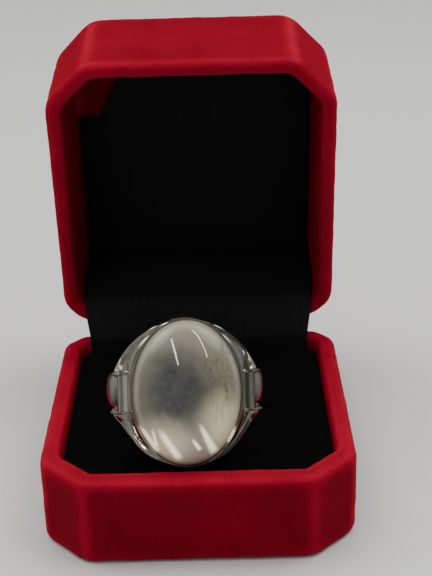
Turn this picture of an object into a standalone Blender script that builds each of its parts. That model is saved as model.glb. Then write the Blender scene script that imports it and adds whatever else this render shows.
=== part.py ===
"""A silver cabochon ring lying tipped in an open, eight-sided hinged ring box.

Metres, +Z up. The origin is the middle of the box's underside, +Y points to the
hinge at the back, and the lid stands open as it rests against its stop.
"""
import math

import bmesh
import bpy
from mathutils import Vector

# Box body and lid
BOX_WIDTH = 0.0520
BOX_DEPTH = 0.0534
FRONT_CUT = 0.0073
BACK_CUT = 0.0036
CORNER_ROUND = 0.0043
WALL = 0.0028
RIM_ROUND = 0.0013
FOOT_ROUND = 0.0012
CROWN_ROUND = 0.0038
BASE_HEIGHT = 0.0152
BASE_FLOOR = 0.0020
LID_HEIGHT = 0.0257
LID_CEILING = 0.0020
FILLET = 0.0005
GAP = 0.0003
ARC_STEPS = 3

# Hinge behind the back wall
HINGE_SETBACK = 0.0013
HINGE_RISE = 0.0009
OPEN_ANGLE = math.radians(82.3)
PIN_RADIUS = 0.0004
KNUCKLE_RADIUS = 0.0011
KNUCKLE_LENGTH = 0.0090
LEAF_DROP = 0.0024
LEAF_SINK = 0.0008
LEAF_INSET = 0.0001
ROUND_SIDES = 16

# Pad in the base, with the slit across it for a ring's shank
PAD_DROP = 0.0019
PAD_ROUND = 0.0004
SLIT_LENGTH = 0.0260
SLIT_WIDTH = 0.0010
SLIT_DEPTH = 0.0060

# Black lining card in the lid, and the cloth that runs on over the hinge
LINING_SPACE = 0.0006
LINING_THICKNESS = 0.0012
APRON_RISE = 0.0014
NOTCH_WIDTH = 0.0129
NOTCH_FOOT = 0.0049
NOTCH_HEIGHT = 0.0156
CLOTH = 0.0008
TUCK_DEPTH = 0.0020
CLOTH_SPREAD = 0.0008
CLOTH_SPREAD_RISE = 0.0032
CLOTH_STEPS = 10

# Ring: finger hole, stone and setting
FINGER_RADIUS = 0.01025
STONE_WIDTH = 0.0175
STONE_LENGTH = 0.0234
STONE_GIRDLE = 0.0009
STONE_DOME = 0.0052
BEZEL_WALL = 0.0003
BEZEL_HEIGHT = 0.0017
BEZEL_FLARE = 0.0014
SEAT_THICKNESS = 0.00105
WING_SPREAD = 0.0038
WING_END = 0.0004
WING_EDGE = 0.0004
WING_DROP = 0.0004
WING_SAG = 0.0033
COVE_DEPTH = 0.0006

# Ring: shank, shoulders and how it lies
STRAP_WIDTH = 0.0061
FIN_THICKNESS = 0.0004
FIN_OVERHANG = 0.0003
FIN_DROP = 0.0005
FIN_END_DROP = 0.0015
FIN_END_HEIGHT = 0.0020
RIDGE_WIDTH = 0.00045
GROOVE_WIDTH = 0.0002
PANEL_WIDTH = 0.0013
SHANK_WIDTH = 0.0046
SHANK_THICKNESS = 0.0017
SHOULDER_THICKNESS = 0.0050
RING_TURN = math.radians(3.0)
RING_ROLL = math.radians(1.4)
RING_ASIDE = -0.0022
RING_ROOM = 0.0020
HEAD_SIDES = 64
BAND_SIDES = 56
STONE_SIDES = 48
STONE_RINGS = 9

# Shank sections by angle from its lowest point, as shares of the way from the
# shank to the shoulder
SHANK_TABLE = (
    # angle, crown height share, width share
    (0, 0.00, 0.00),
    (50, 0.03, 0.05),
    (75, 0.15, 0.30),
    (92, 0.32, 0.62),
    (107, 0.56, 0.90),
    (118, 0.83, 1.00),
    (129, 1.00, 1.00),
    (135, 1.00, 1.00),
    (143, 0.35, 1.00),
    (180, 0.00, 1.00),
)
# Half of the band's crowned section, from its middle out to its edge
CROWN_TABLE = (
    # share of the half width, share of the rise from the edge to the crown
    (0.00, 1.00),
    (0.38, 0.88),
    (0.72, 0.56),
    (1.00, 0.00),
)
# Height of the band's edge as a share of its crown height, at the shank and the shoulder
SHANK_EDGE = 0.62
SHOULDER_EDGE = 0.78
# Outline of the head under its wings, as shares of the head's half width and half
# length and of the height from the finger hole's middle to the wing edge
FLANK_TABLE = (
    # width share, length share, height share
    (0.930, 0.20, 0.09),
    (0.960, 0.42, 0.40),
    (0.985, 0.74, 0.66),
)
# Most that the bezel's flared foot takes of the room between the bezel and the wing edge
FOOT_SHARE = 0.55
# How deep the shoulder's frame and its fins are rooted, as shares of the wings' height
FRAME_ROOT = 0.75
FIN_ROOT = 0.63
# The cloth's way over the rims: the directions in which it leaves the base and
# meets the lining, and how far it keeps to them as a share of the whole way
CLOTH_LEAVES = Vector((0.42, 0.91))
CLOTH_MEETS = Vector((-0.75, -0.66))
CLOTH_LEAVES_SHARE = 0.48
CLOTH_MEETS_SHARE = 0.26

# Worked out from the sizes above
BACK_FACE = BOX_DEPTH / 2
INNER_BACK = BACK_FACE - WALL
HINGE_Y = BACK_FACE + HINGE_SETBACK
HINGE_Z = BASE_HEIGHT + HINGE_RISE
LID_RIM = BASE_HEIGHT + GAP - HINGE_Z
LINING_FACE = LID_RIM + LID_HEIGHT - LID_CEILING - LINING_SPACE - LINING_THICKNESS
PAD_TOP = BASE_HEIGHT - PAD_DROP
KNUCKLE_NEAR = KNUCKLE_LENGTH / 2 + GAP
KNUCKLE_FAR = KNUCKLE_NEAR + KNUCKLE_LENGTH
HEAD_WIDTH = STONE_WIDTH + 2 * WING_SPREAD
HEAD_LENGTH = STONE_LENGTH + 2 * WING_END
STONE_SEAT = FINGER_RADIUS + SEAT_THICKNESS
STONE_FOOT = STONE_SEAT + GAP
BEZEL_TOP = STONE_SEAT + BEZEL_HEIGHT
WING_TOP = STONE_SEAT - WING_DROP
BEZEL_INNER_X = STONE_WIDTH / 2 + GAP
BEZEL_INNER_Y = STONE_LENGTH / 2 + GAP
HEAD_END = BEZEL_INNER_Y + BEZEL_WALL + WING_EDGE / 4
SHANK_EDGE_RADIUS = FINGER_RADIUS + SHANK_THICKNESS * SHANK_EDGE


def clear_scene():
    for old in list(bpy.data.objects):
        bpy.data.objects.remove(old, do_unlink=True)


def paint(name, colour, roughness, metallic=0.0, transmission=0.0):
    material = bpy.data.materials.new(name)
    material.use_nodes = True
    shader = material.node_tree.nodes["Principled BSDF"]
    shader.inputs["Base Color"].default_value = (*colour, 1.0)
    shader.inputs["Roughness"].default_value = roughness
    shader.inputs["Metallic"].default_value = metallic
    shader.inputs["Transmission Weight"].default_value = transmission
    return material


def add_object(name, bm, material=None, parent=None):
    bmesh.ops.recalc_face_normals(bm, faces=bm.faces)
    mesh = bpy.data.meshes.new(name)
    bm.to_mesh(mesh)
    bm.free()
    obj = bpy.data.objects.new(name, mesh)
    bpy.context.scene.collection.objects.link(obj)
    obj.parent = parent
    if material:
        mesh.materials.append(material)
    return obj


def add_empty(name, location, rotation):
    empty = bpy.data.objects.new(name, None)
    bpy.context.scene.collection.objects.link(empty)
    empty.location = location
    empty.rotation_euler = rotation
    return empty


def loft(rings, closed=False):
    """One solid through rings of the same number of points, capped unless closed."""
    bm = bmesh.new()
    loops = [[bm.verts.new(point) for point in ring] for ring in rings]
    pairs = list(zip(loops, loops[1:]))
    if closed:
        pairs.append((loops[-1], loops[0]))
    else:
        bm.faces.new(loops[0])
        bm.faces.new(loops[-1])
    count = len(loops[0])
    for lower, upper in pairs:
        for i in range(count):
            j = (i + 1) % count
            bm.faces.new((lower[i], lower[j], upper[j], upper[i]))
    return bm


def prism(outline, low, high, axis="X"):
    """A solid from a flat outline, drawn out from low to high along an axis."""
    place = {
        "X": lambda a, b, h: (h, a, b),
        "Y": lambda a, b, h: (a, h, b),
        "Z": lambda a, b, h: (a, b, h),
    }[axis]
    return loft([[place(a, b, h) for a, b in outline] for h in (low, high)])


def circle(radius, sides):
    turns = (math.tau * (i + 0.5) / sides for i in range(sides))
    return [(radius * math.cos(a), radius * math.sin(a)) for a in turns]


def box(low, high):
    outline = [(low[0], low[1]), (high[0], low[1]), (high[0], high[1]), (low[0], high[1])]
    return prism(outline, low[2], high[2], "Z")


def gather(solids):
    """Closed solids that may run into each other, together in one mesh."""
    together = bmesh.new()
    for solid in solids:
        mesh = bpy.data.meshes.new("solid")
        solid.to_mesh(mesh)
        solid.free()
        together.from_mesh(mesh)
        bpy.data.meshes.remove(mesh)
    return together


def combine(target, tool, operation, gathered=False):
    """Cut or join with a hidden tool, which is not a piece of its own."""
    tool.hide_render = True
    tool.display_type = "WIRE"
    modifier = target.modifiers.new(tool.name, "BOOLEAN")
    modifier.operation = operation
    modifier.solver = "EXACT"
    modifier.object = tool
    modifier.use_self = gathered


def smooth(obj, degrees=40.0):
    obj.data.shade_smooth()
    obj.data.set_sharp_from_angle(angle=math.radians(degrees))


def cut_leg(cut, inset):
    """Leg of a cut-off corner on an outline that is moved in by inset."""
    return cut - inset * (2 - math.sqrt(2))


def octagon(inset, z, middle_y=0.0):
    """The box's eight-sided outline, moved in by inset, with rounded corners."""
    half_x = BOX_WIDTH / 2 - inset
    half_y = BOX_DEPTH / 2 - inset
    front, back = cut_leg(FRONT_CUT, inset), cut_leg(BACK_CUT, inset)
    right = [
        (half_x - front, -half_y),
        (half_x, front - half_y),
        (half_x, half_y - back),
        (half_x - back, half_y),
    ]
    corners = [Vector(point) for point in right] + [Vector((-x, y)) for x, y in reversed(right)]
    radius = max(CORNER_ROUND - inset, FILLET)
    turn = math.tau / len(corners)
    reach = radius * math.tan(turn / 2)
    points = []
    for i, corner in enumerate(corners):
        before = (corner - corners[i - 1]).normalized()
        outward = Vector((before.y, -before.x))
        hub = corner - before * reach - outward * radius
        start = math.atan2(outward.y, outward.x)
        for step in range(ARC_STEPS + 1):
            angle = start + turn * step / ARC_STEPS
            points.append(hub + radius * Vector((math.cos(angle), math.sin(angle))))
    return [(p.x, p.y + middle_y, z) for p in points]


def quarter_turn():
    """Sine and cosine at even steps through a quarter turn."""
    angles = [math.pi / 2 * step / ARC_STEPS for step in range(ARC_STEPS + 1)]
    return [(math.sin(a), math.cos(a)) for a in angles]


def cup(height, floor, foot_round):
    """Inset and height of each ring of an open cup, from its underside to its floor."""
    foot = [(foot_round * (1 - s), foot_round * (1 - c)) for s, c in quarter_turn()]
    outer = [(RIM_ROUND * (1 - c), height - RIM_ROUND * (1 - s)) for s, c in quarter_turn()]
    inner = [(WALL - inset, z) for inset, z in reversed(outer)]
    bottom = [(WALL, floor + FILLET), (WALL + FILLET, floor)]
    return foot + outer + inner + bottom


def hinge_leaf(up):
    """Outline of the leaf that joins a knuckle to its wall, as y and z from the hinge axis."""
    wall = -HINGE_SETBACK - LEAF_SINK
    near = LID_RIM + RIM_ROUND if up else -HINGE_RISE - RIM_ROUND
    away = 1 if up else -1
    far = near + away * LEAF_DROP
    return [
        (wall, near),
        (wall, far),
        (-KNUCKLE_RADIUS / 2, far - away * KNUCKLE_RADIUS),
        (KNUCKLE_RADIUS / 2, 0.0),
        (-KNUCKLE_RADIUS / 2, 0.0),
    ]


def add_knuckles(shell, spans, up, parent, axis_at):
    """Knuckles with their leaves on a shell, and the bore for the pin through them."""
    tools = []
    for low, high in spans:
        tools.append(("UNION", prism(circle(KNUCKLE_RADIUS, ROUND_SIDES), low, high)))
        tools.append(("UNION", prism(hinge_leaf(up), low + LEAF_INSET, high - LEAF_INSET)))
    bore = circle(PIN_RADIUS + GAP, ROUND_SIDES)
    tools.append(("DIFFERENCE", prism(bore, -BOX_WIDTH / 2, BOX_WIDTH / 2)))
    for index, (operation, bm) in enumerate(tools):
        tool = add_object(f"{shell.name}_hinge_{index}", bm, parent=parent)
        tool.location = axis_at
        combine(shell, tool, operation)


def make_base(material):
    rings = [octagon(inset, z) for inset, z in cup(BASE_HEIGHT, BASE_FLOOR, FOOT_ROUND)]
    shell = add_object("base_shell", loft(rings), material)
    spans = [(KNUCKLE_NEAR, KNUCKLE_FAR), (-KNUCKLE_FAR, -KNUCKLE_NEAR)]
    add_knuckles(shell, spans, False, None, (0.0, HINGE_Y, HINGE_Z))
    smooth(shell)


def make_pad(material):
    """The pad that fills the base, with its slit and room for the cloth behind it."""
    inset = WALL + GAP
    low = BASE_FLOOR + GAP
    levels = [
        (inset + FILLET, low),
        (inset, low + FILLET),
        (inset, PAD_TOP - PAD_ROUND),
        (inset + PAD_ROUND, PAD_TOP),
    ]
    pad = add_object("ring_pad", loft([octagon(*level) for level in levels]), material)
    slit = box(
        (-SLIT_LENGTH / 2, -SLIT_WIDTH / 2, PAD_TOP - SLIT_DEPTH),
        (SLIT_LENGTH / 2, SLIT_WIDTH / 2, BASE_HEIGHT),
    )
    combine(pad, add_object("pad_slit", slit), "DIFFERENCE")
    tuck = box(
        (-BOX_WIDTH, INNER_BACK - CLOTH - 2 * GAP, -BASE_FLOOR),
        (BOX_WIDTH, BOX_DEPTH, BASE_HEIGHT),
    )
    combine(pad, add_object("pad_tuck", tuck), "DIFFERENCE")


def make_lid(material, hinge):
    top = LID_RIM + LID_HEIGHT
    levels = cup(LID_HEIGHT, LID_CEILING, CROWN_ROUND)
    rings = [octagon(inset, top - depth, -HINGE_Y) for inset, depth in levels]
    shell = add_object("lid_shell", loft(rings), material, hinge)
    half = KNUCKLE_LENGTH / 2
    add_knuckles(shell, [(-half, half)], True, hinge, (0.0, 0.0, 0.0))
    smooth(shell)


def apron_y():
    """Front and back of the lining's folded foot, as y from the hinge axis with the lid shut."""
    back = INNER_BACK - APRON_RISE - HINGE_Y
    return back - LINING_THICKNESS, back


def make_lining(material, hinge):
    """The card near the lid's ceiling and its foot, which lies between the lid's back corners."""
    inset = WALL + GAP
    back_face = LINING_FACE + LINING_THICKNESS
    rings = [octagon(inset, z, -HINGE_Y) for z in (LINING_FACE, back_face)]
    card = add_object("lid_lining", loft(rings), material, hinge)
    half = BOX_WIDTH / 2 - inset
    front, back = apron_y()
    foot_half = half - max(cut_leg(BACK_CUT, inset) - APRON_RISE, 0.0) - 2 * GAP
    foot = box(
        (-foot_half, front, LID_RIM + RIM_ROUND),
        (foot_half, back, LINING_FACE + LINING_THICKNESS / 2),
    )
    combine(card, add_object("lining_foot", foot, parent=hinge), "UNION")
    side = -half - GAP
    end = -BOX_DEPTH / 2 + inset - HINGE_Y
    notch = [
        (side, end - GAP),
        (-half + NOTCH_WIDTH, end - GAP),
        (-half + NOTCH_WIDTH, end),
        (-half + NOTCH_FOOT, end + NOTCH_HEIGHT),
        (side, end + NOTCH_HEIGHT),
    ]
    cutter = prism(notch, LINING_FACE - LINING_THICKNESS, back_face + LINING_THICKNESS, "Z")
    combine(card, add_object("lining_notch", cutter, parent=hinge), "DIFFERENCE")


def opened(y, z):
    """Where a point of the shut lid, given from the hinge axis, lies with the lid open."""
    turn_cos, turn_sin = math.cos(OPEN_ANGLE), math.sin(OPEN_ANGLE)
    return Vector((HINGE_Y + y * turn_cos + z * turn_sin, HINGE_Z - y * turn_sin + z * turn_cos))


def bezier(points, t):
    a, b, c, d = points
    return a * (1 - t) ** 3 + b * (3 * t * (1 - t) ** 2) + c * (3 * t * t * (1 - t)) + d * t ** 3


def cloth_path():
    """The cloth's middle line in y and z, from behind the pad to the lining's foot."""
    start = Vector((INNER_BACK - GAP - CLOTH / 2, BASE_HEIGHT + GAP))
    end = opened(sum(apron_y()) / 2, LID_RIM + RIM_ROUND - GAP)
    span = (end - start).length
    route = (
        start,
        start + CLOTH_LEAVES * span * CLOTH_LEAVES_SHARE,
        end + CLOTH_MEETS * span * CLOTH_MEETS_SHARE,
        end,
    )
    tuck = [Vector((start.x, PAD_TOP - TUCK_DEPTH)), Vector((start.x, (PAD_TOP + BASE_HEIGHT) / 2))]
    return tuck + [bezier(route, step / CLOTH_STEPS) for step in range(CLOTH_STEPS + 1)]


def make_cloth(material):
    """The cloth over both rims, narrow between the base's back corners and wider above them."""
    path = cloth_path()
    narrow = BOX_WIDTH / 2 - WALL - cut_leg(BACK_CUT, WALL) - GAP
    rings = []
    for i, point in enumerate(path):
        ahead = (path[min(i + 1, len(path) - 1)] - path[max(i - 1, 0)]).normalized()
        side = Vector((-ahead.y, ahead.x)) * CLOTH / 2
        rise = point.y - BASE_HEIGHT - GAP
        half = narrow + CLOTH_SPREAD * min(max(rise / CLOTH_SPREAD_RISE, 0.0), 1.0)
        near, far = point + side, point - side
        rings.append([(-half, *near), (half, *near), (half, *far), (-half, *far)])
    add_object("hinge_cloth", loft(rings), material)


def make_pin(material):
    rod = prism(circle(PIN_RADIUS, ROUND_SIDES), -KNUCKLE_FAR, KNUCKLE_FAR)
    pin = add_object("hinge_pin", rod, material)
    pin.location = (0.0, HINGE_Y, HINGE_Z)
    smooth(pin)


def from_table(table, key):
    """Values between the rows of a table, eased so that the surface has no corners."""
    for low, high in zip(table, table[1:]):
        if low[0] <= key <= high[0]:
            t = (key - low[0]) / (high[0] - low[0])
            t = t * t * (3 - 2 * t)
            return [a + (b - a) * t for a, b in zip(low[1:], high[1:])]
    return list(table[-1][1:])


def band_solid():
    """The shank, a crowned band that swells into the two shoulders."""
    bore = FINGER_RADIUS - SEAT_THICKNESS
    half_section = [(-side, rise) for side, rise in reversed(CROWN_TABLE)]
    section = half_section + list(CROWN_TABLE[1:])
    rings = []
    for i in range(BAND_SIDES):
        angle = math.degrees(math.tau * i / BAND_SIDES)
        crown_share, width_share = from_table(SHANK_TABLE, min(angle, 360.0 - angle))
        crown = SHANK_THICKNESS + (SHOULDER_THICKNESS - SHANK_THICKNESS) * crown_share
        edge = crown * (SHANK_EDGE + (SHOULDER_EDGE - SHANK_EDGE) * crown_share)
        half = (SHANK_WIDTH + (STRAP_WIDTH - SHANK_WIDTH) * width_share) / 2
        profile = [(half * side, FINGER_RADIUS + edge + (crown - edge) * rise) for side, rise in section]
        profile = [(-half, bore)] + profile + [(half, bore)]
        a = math.radians(angle)
        rings.append([(r * math.sin(a), y, -r * math.cos(a)) for y, r in profile])
    return loft(rings, closed=True)


def oval(half_x, half_y, angle):
    """Distance from the middle to an oval's edge, in the direction of an angle."""
    return 1 / math.hypot(math.cos(angle) / half_x, math.sin(angle) / half_y)


def head_solid():
    """The head: flared flanks, winged edge, cove and the bezel's outside, in rings from below."""
    half_x, half_y = HEAD_WIDTH / 2, HEAD_LENGTH / 2
    columns = []
    for i in range(HEAD_SIDES):
        angle = math.tau * i / HEAD_SIDES
        across, ahead = math.cos(angle), math.sin(angle)
        outer = oval(BEZEL_INNER_X, BEZEL_INNER_Y, angle) + BEZEL_WALL
        edge = max(oval(half_x, half_y, angle), outer + WING_EDGE / 4)
        room = edge - outer
        foot = outer + min(BEZEL_FLARE * across * across, FOOT_SHARE * room)
        lip = max(edge - WING_EDGE, (edge + foot) / 2)
        dip = COVE_DEPTH * min(2 * room / WING_SPREAD, 1.0)
        top = WING_TOP - WING_SAG * (edge * across / half_x) ** 2
        flanks = [(oval(half_x * w, half_y * l, angle), WING_TOP * h) for w, l, h in FLANK_TABLE]
        column = flanks + [
            (edge, top),
            (lip, top),
            ((lip + foot) / 2, top + WING_DROP / 2 - dip),
            (foot, top + WING_DROP),
            (outer + BEZEL_WALL / 2, BEZEL_TOP - BEZEL_WALL),
            (outer, BEZEL_TOP),
        ]
        columns.append([(r * across, r * ahead, z) for r, z in column])
    return loft(list(zip(*columns)))


def stone_pocket():
    """The hollow of the bezel, from the stone's seat up, with its lip eased outward."""
    levels = [
        (0.0, STONE_SEAT),
        (0.0, BEZEL_TOP - BEZEL_WALL),
        (BEZEL_WALL / 2, BEZEL_TOP),
        (BEZEL_WALL / 2, STONE_SEAT + STONE_DOME),
    ]
    turns = [math.tau * i / HEAD_SIDES for i in range(HEAD_SIDES)]
    rings = []
    for grow, z in levels:
        reach = [(oval(BEZEL_INNER_X, BEZEL_INNER_Y, a) + grow, a) for a in turns]
        rings.append([(r * math.cos(a), r * math.sin(a), z) for r, a in reach])
    return loft(rings)


def shoulder_trim(side):
    """The framed panel beside the bezel and the two fins across each shoulder."""
    root = BEZEL_INNER_X - 2 * GAP
    low = WING_TOP * FRAME_ROOT
    fin_low = WING_TOP * FIN_ROOT
    panel = WING_TOP + WING_DROP
    start = BEZEL_INNER_X + BEZEL_WALL
    ridge = start + PANEL_WIDTH
    groove = ridge + RIDGE_WIDTH + GROOVE_WIDTH
    reach = HEAD_WIDTH / 2 + FIN_OVERHANG
    fin_top = BEZEL_TOP - FIN_DROP
    fin_end = WING_TOP - FIN_END_DROP
    frame = [
        (root, low),
        (root, panel + WING_DROP),
        (start, panel + WING_DROP),
        (start + WING_DROP / 2, panel),
        (ridge, panel - WING_DROP),
        (ridge, panel + RIDGE_WIDTH),
        (ridge + RIDGE_WIDTH, panel + WING_DROP / 2),
        (groove, panel - COVE_DEPTH),
        (groove, low),
    ]
    fin = [
        (root - GAP, fin_low),
        (root - GAP, fin_top),
        (start + PANEL_WIDTH / 2, fin_top),
        (ridge + RIDGE_WIDTH, panel + WING_DROP),
        (reach - RIDGE_WIDTH, fin_end + FIN_END_DROP / 2),
        (reach, fin_end),
        (reach - RIDGE_WIDTH / 2, fin_end - FIN_END_HEIGHT),
        (start, fin_low),
    ]
    half = STRAP_WIDTH / 2
    frame_end = half - FIN_THICKNESS / 8
    solids = [prism([(side * x, z) for x, z in frame], -frame_end, frame_end, "Y")]
    for end in (-1, 1):
        faces = sorted((end * (half - FIN_THICKNESS / 4), end * (half + FIN_THICKNESS * 3 / 4)))
        solids.append(prism([(side * x, z) for x, z in fin], *faces, "Y"))
    return solids


def make_ring(material, seat):
    """Shank, head, panels and fins soldered into one solid, with the finger hole cut through."""
    ring = add_object("ring_body", band_solid(), material, seat)
    fittings = [head_solid()] + shoulder_trim(-1) + shoulder_trim(1)
    tool = add_object("ring_fittings", gather(fittings), parent=seat)
    combine(ring, tool, "UNION", gathered=True)
    combine(ring, add_object("stone_pocket", stone_pocket(), parent=seat), "DIFFERENCE")
    hole = prism(circle(FINGER_RADIUS, HEAD_SIDES), -HEAD_LENGTH, HEAD_LENGTH, "Y")
    combine(ring, add_object("ring_hole", hole, parent=seat), "DIFFERENCE")
    smooth(ring)


def make_stone(material, seat):
    """The oval cabochon: a flat back, a short upright girdle and an even dome."""
    half_x, half_y = STONE_WIDTH / 2, STONE_LENGTH / 2
    girdle = STONE_FOOT + STONE_GIRDLE
    levels = [(1 - GAP / half_x, STONE_FOOT), (1.0, STONE_FOOT + GAP), (1.0, girdle)]
    for step in range(1, STONE_RINGS):
        a = math.pi / 2 * step / STONE_RINGS
        levels.append((math.cos(a), girdle + STONE_DOME * math.sin(a)))
    turns = [math.tau * i / STONE_SIDES for i in range(STONE_SIDES)]
    rings = []
    for share, z in levels:
        rings.append([(half_x * share * math.cos(a), half_y * share * math.sin(a), z) for a in turns])
    bm = loft(rings)
    bm.faces.ensure_lookup_table()
    cap = max(bm.faces, key=lambda face: face.calc_center_median().z)
    crown = bmesh.ops.poke(bm, faces=[cap])["verts"][0]
    crown.co.z = girdle + STONE_DOME
    smooth(add_object("cabochon", bm, material, seat), 60.0)


def ring_lean():
    """Lean at which the ring lies on the pad with its head's end and its shank's lower edge."""
    return math.atan2(WING_TOP + SHANK_EDGE_RADIUS, HEAD_END - SHANK_WIDTH / 2)


def ring_middle():
    """Middle of the finger hole, with the head's end just inside the box's front wall."""
    lean = ring_lean()
    front = -BOX_DEPTH / 2 + WALL + RING_ROOM
    forward = HEAD_END * math.cos(lean) + BEZEL_TOP * math.sin(lean)
    rise = HEAD_END * math.sin(lean) - WING_TOP * math.cos(lean)
    return RING_ASIDE, front + forward, PAD_TOP + GAP + rise


def main():
    clear_scene()
    velvet = paint("red_velvet", (0.36, 0.005, 0.018), 0.85)
    black_pad = paint("black_pad", (0.008, 0.008, 0.009), 0.9)
    black_lining = paint("black_lining", (0.008, 0.008, 0.009), 0.9)
    silver = paint("silver", (0.72, 0.71, 0.68), 0.18, metallic=1.0)
    steel = paint("steel", (0.55, 0.55, 0.55), 0.35, metallic=1.0)
    stone = paint("milky_stone", (0.55, 0.55, 0.42), 0.06, transmission=0.4)
    hinge = add_empty("lid_hinge", (0.0, HINGE_Y, HINGE_Z), (-OPEN_ANGLE, 0.0, 0.0))
    seat = add_empty("ring_seat", ring_middle(), (ring_lean(), RING_ROLL, RING_TURN))
    make_base(velvet)
    make_pad(black_pad)
    make_lid(velvet, hinge)
    make_lining(black_lining, hinge)
    make_cloth(black_lining)
    make_pin(steel)
    make_ring(silver, seat)
    make_stone(stone, seat)


main()
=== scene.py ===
# %% [markdown]
# # A cabochon ring lying in its open velvet box
#
# The real thing is a silver ring with a large milky oval stone. It lies loose on the
# black pad of a hinged, eight-sided ring box that is covered in red velvet.
#
# A measured solid model of it is loaded first. Every new piece is then made in that
# model's own place, in metres, so nothing has to be fitted by eye afterwards.

# %% Load the measured model
import math
from collections import namedtuple

import bmesh
import bpy
import numpy as np
from mathutils import Euler, Matrix, Vector


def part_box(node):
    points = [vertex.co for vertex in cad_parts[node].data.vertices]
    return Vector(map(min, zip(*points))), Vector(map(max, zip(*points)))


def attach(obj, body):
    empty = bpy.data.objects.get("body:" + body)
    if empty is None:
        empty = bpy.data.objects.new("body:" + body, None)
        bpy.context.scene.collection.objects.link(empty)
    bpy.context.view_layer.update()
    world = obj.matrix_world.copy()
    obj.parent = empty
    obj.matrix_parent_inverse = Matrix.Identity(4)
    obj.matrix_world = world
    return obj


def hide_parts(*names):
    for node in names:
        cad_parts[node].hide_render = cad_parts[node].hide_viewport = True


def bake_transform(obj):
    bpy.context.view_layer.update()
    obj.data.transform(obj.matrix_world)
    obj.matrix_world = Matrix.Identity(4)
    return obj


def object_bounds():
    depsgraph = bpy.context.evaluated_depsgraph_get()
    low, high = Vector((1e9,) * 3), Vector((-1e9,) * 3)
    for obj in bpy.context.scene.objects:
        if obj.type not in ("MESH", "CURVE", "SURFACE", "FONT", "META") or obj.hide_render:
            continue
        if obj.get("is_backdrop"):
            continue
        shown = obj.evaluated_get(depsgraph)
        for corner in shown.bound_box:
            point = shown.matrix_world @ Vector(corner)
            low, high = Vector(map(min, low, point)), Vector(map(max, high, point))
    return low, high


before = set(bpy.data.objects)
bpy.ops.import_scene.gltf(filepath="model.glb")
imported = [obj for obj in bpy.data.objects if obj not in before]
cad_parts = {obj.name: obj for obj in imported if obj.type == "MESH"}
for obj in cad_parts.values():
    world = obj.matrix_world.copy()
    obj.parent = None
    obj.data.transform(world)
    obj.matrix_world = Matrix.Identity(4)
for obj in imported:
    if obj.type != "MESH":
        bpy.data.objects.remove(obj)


def in_mm(corners, digits=1):
    """Corners in metres as plain lists of millimetres, for printing."""
    return [[round(value * 1000, digits) for value in corner] for corner in corners]


cad_bounds = [list(corner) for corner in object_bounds()]
print("model box", in_mm(cad_bounds))

# %% [markdown]
# ## Sizes
#
# All sizes are the measured model's own, in metres. +Z is up, +Y points to the hinge at
# the back, and the origin is the middle of the box's underside. The base's velvet is
# folded in over the pad, further at its front than at its sides. FOLDED_MOUTH says what
# share of the base's inner width and depth the fold leaves open.

# %% Sizes of the box
BOX_WIDTH = 0.0520
BOX_DEPTH = 0.0534
FRONT_CUT = 0.0073
BACK_CUT = 0.0036
CORNER_SOFT = 0.0018
WALL = 0.0028
FOLD_SIDE = 0.0005
FOLD_FRONT = 0.0012
FOLDED_MOUTH = (0.9785, 0.975, 1)
RIM_ROUND = 0.0013
BASE_HEIGHT = 0.0152
BASE_FLOOR = 0.0020
FOOT_ROUND = 0.0012
LID_HEIGHT = 0.0257
LID_CEILING = 0.0020
CROWN_ROUND = 0.0038
GAP = 0.0003
HINGE = Vector((0.0, 0.0280, 0.0161))
OPEN_ANGLE = math.radians(82.3)
LID_RIM = BASE_HEIGHT + GAP - HINGE.z
PAD_TOP = 0.0133
TINY = 1e-5
print("box", BOX_WIDTH, "m wide and", BOX_DEPTH, "m deep, with its hinge at", tuple(HINGE))

# %% [markdown]
# ## Small helpers
#
# Blender's operators act on whatever is selected. These helpers choose one object, pick
# parts of its mesh by their place, and add a modifier and apply it at once.

# %% Helpers for choosing and starting
def choose(obj):
    """Make obj the only selected object, and the active one."""
    bpy.ops.object.select_all(action="DESELECT")
    obj.select_set(True)
    bpy.context.view_layer.objects.active = obj


def settle(obj, name=None):
    """Name an object and move its place, turn and scale into its mesh."""
    choose(obj)
    bpy.ops.object.transform_apply(location=True, rotation=True, scale=True)
    obj.name = name or obj.name
    obj.data.name = obj.name
    return obj


def begin(name, primitive, **settings):
    """Start a piece from a primitive at its size and place, with nothing else selected."""
    bpy.ops.object.select_all(action="DESELECT")
    primitive(**settings)
    return settle(bpy.context.object, name)


def pick(kind, wanted):
    """In edit mode, select only the vertices, edges or faces for which wanted() is true."""
    bpy.ops.mesh.select_mode(type=kind)
    bpy.ops.mesh.select_all(action="DESELECT")
    mesh = bpy.context.object.data
    bm = bmesh.from_edit_mesh(mesh)
    bm.normal_update()
    for part in {"VERT": bm.verts, "EDGE": bm.edges, "FACE": bm.faces}[kind]:
        if wanted(part):
            part.select_set(True)
    bm.select_flush_mode()
    bmesh.update_edit_mesh(mesh)


def face_outwards():
    """In edit mode, turn every face outwards."""
    bpy.ops.mesh.select_all(action="SELECT")
    bpy.ops.mesh.normals_make_consistent(inside=False)


# %% Helpers for finishing
def finish_with(obj, kind, **settings):
    """Add a modifier to obj with these settings, and apply it."""
    choose(obj)
    modifier = obj.modifiers.new(kind.lower(), kind)
    for key, value in settings.items():
        setattr(modifier, key, value)
    bpy.ops.object.modifier_apply(modifier=modifier.name)


def combine(obj, tool, operation):
    """Join tool to obj or cut it out of obj, and throw tool away."""
    finish_with(obj, "BOOLEAN", object=tool, operation=operation, solver="EXACT")
    bpy.data.objects.remove(tool, do_unlink=True)


def dress(obj, material, sharp=None):
    """Give a piece its material and shade it smooth, up to a sharp angle in degrees if there is one."""
    choose(obj)
    if sharp is None:
        bpy.ops.object.shade_smooth()
    else:
        bpy.ops.object.shade_smooth_by_angle(angle=math.radians(sharp))
    obj.data.materials.clear()
    obj.data.materials.append(material)


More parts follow.
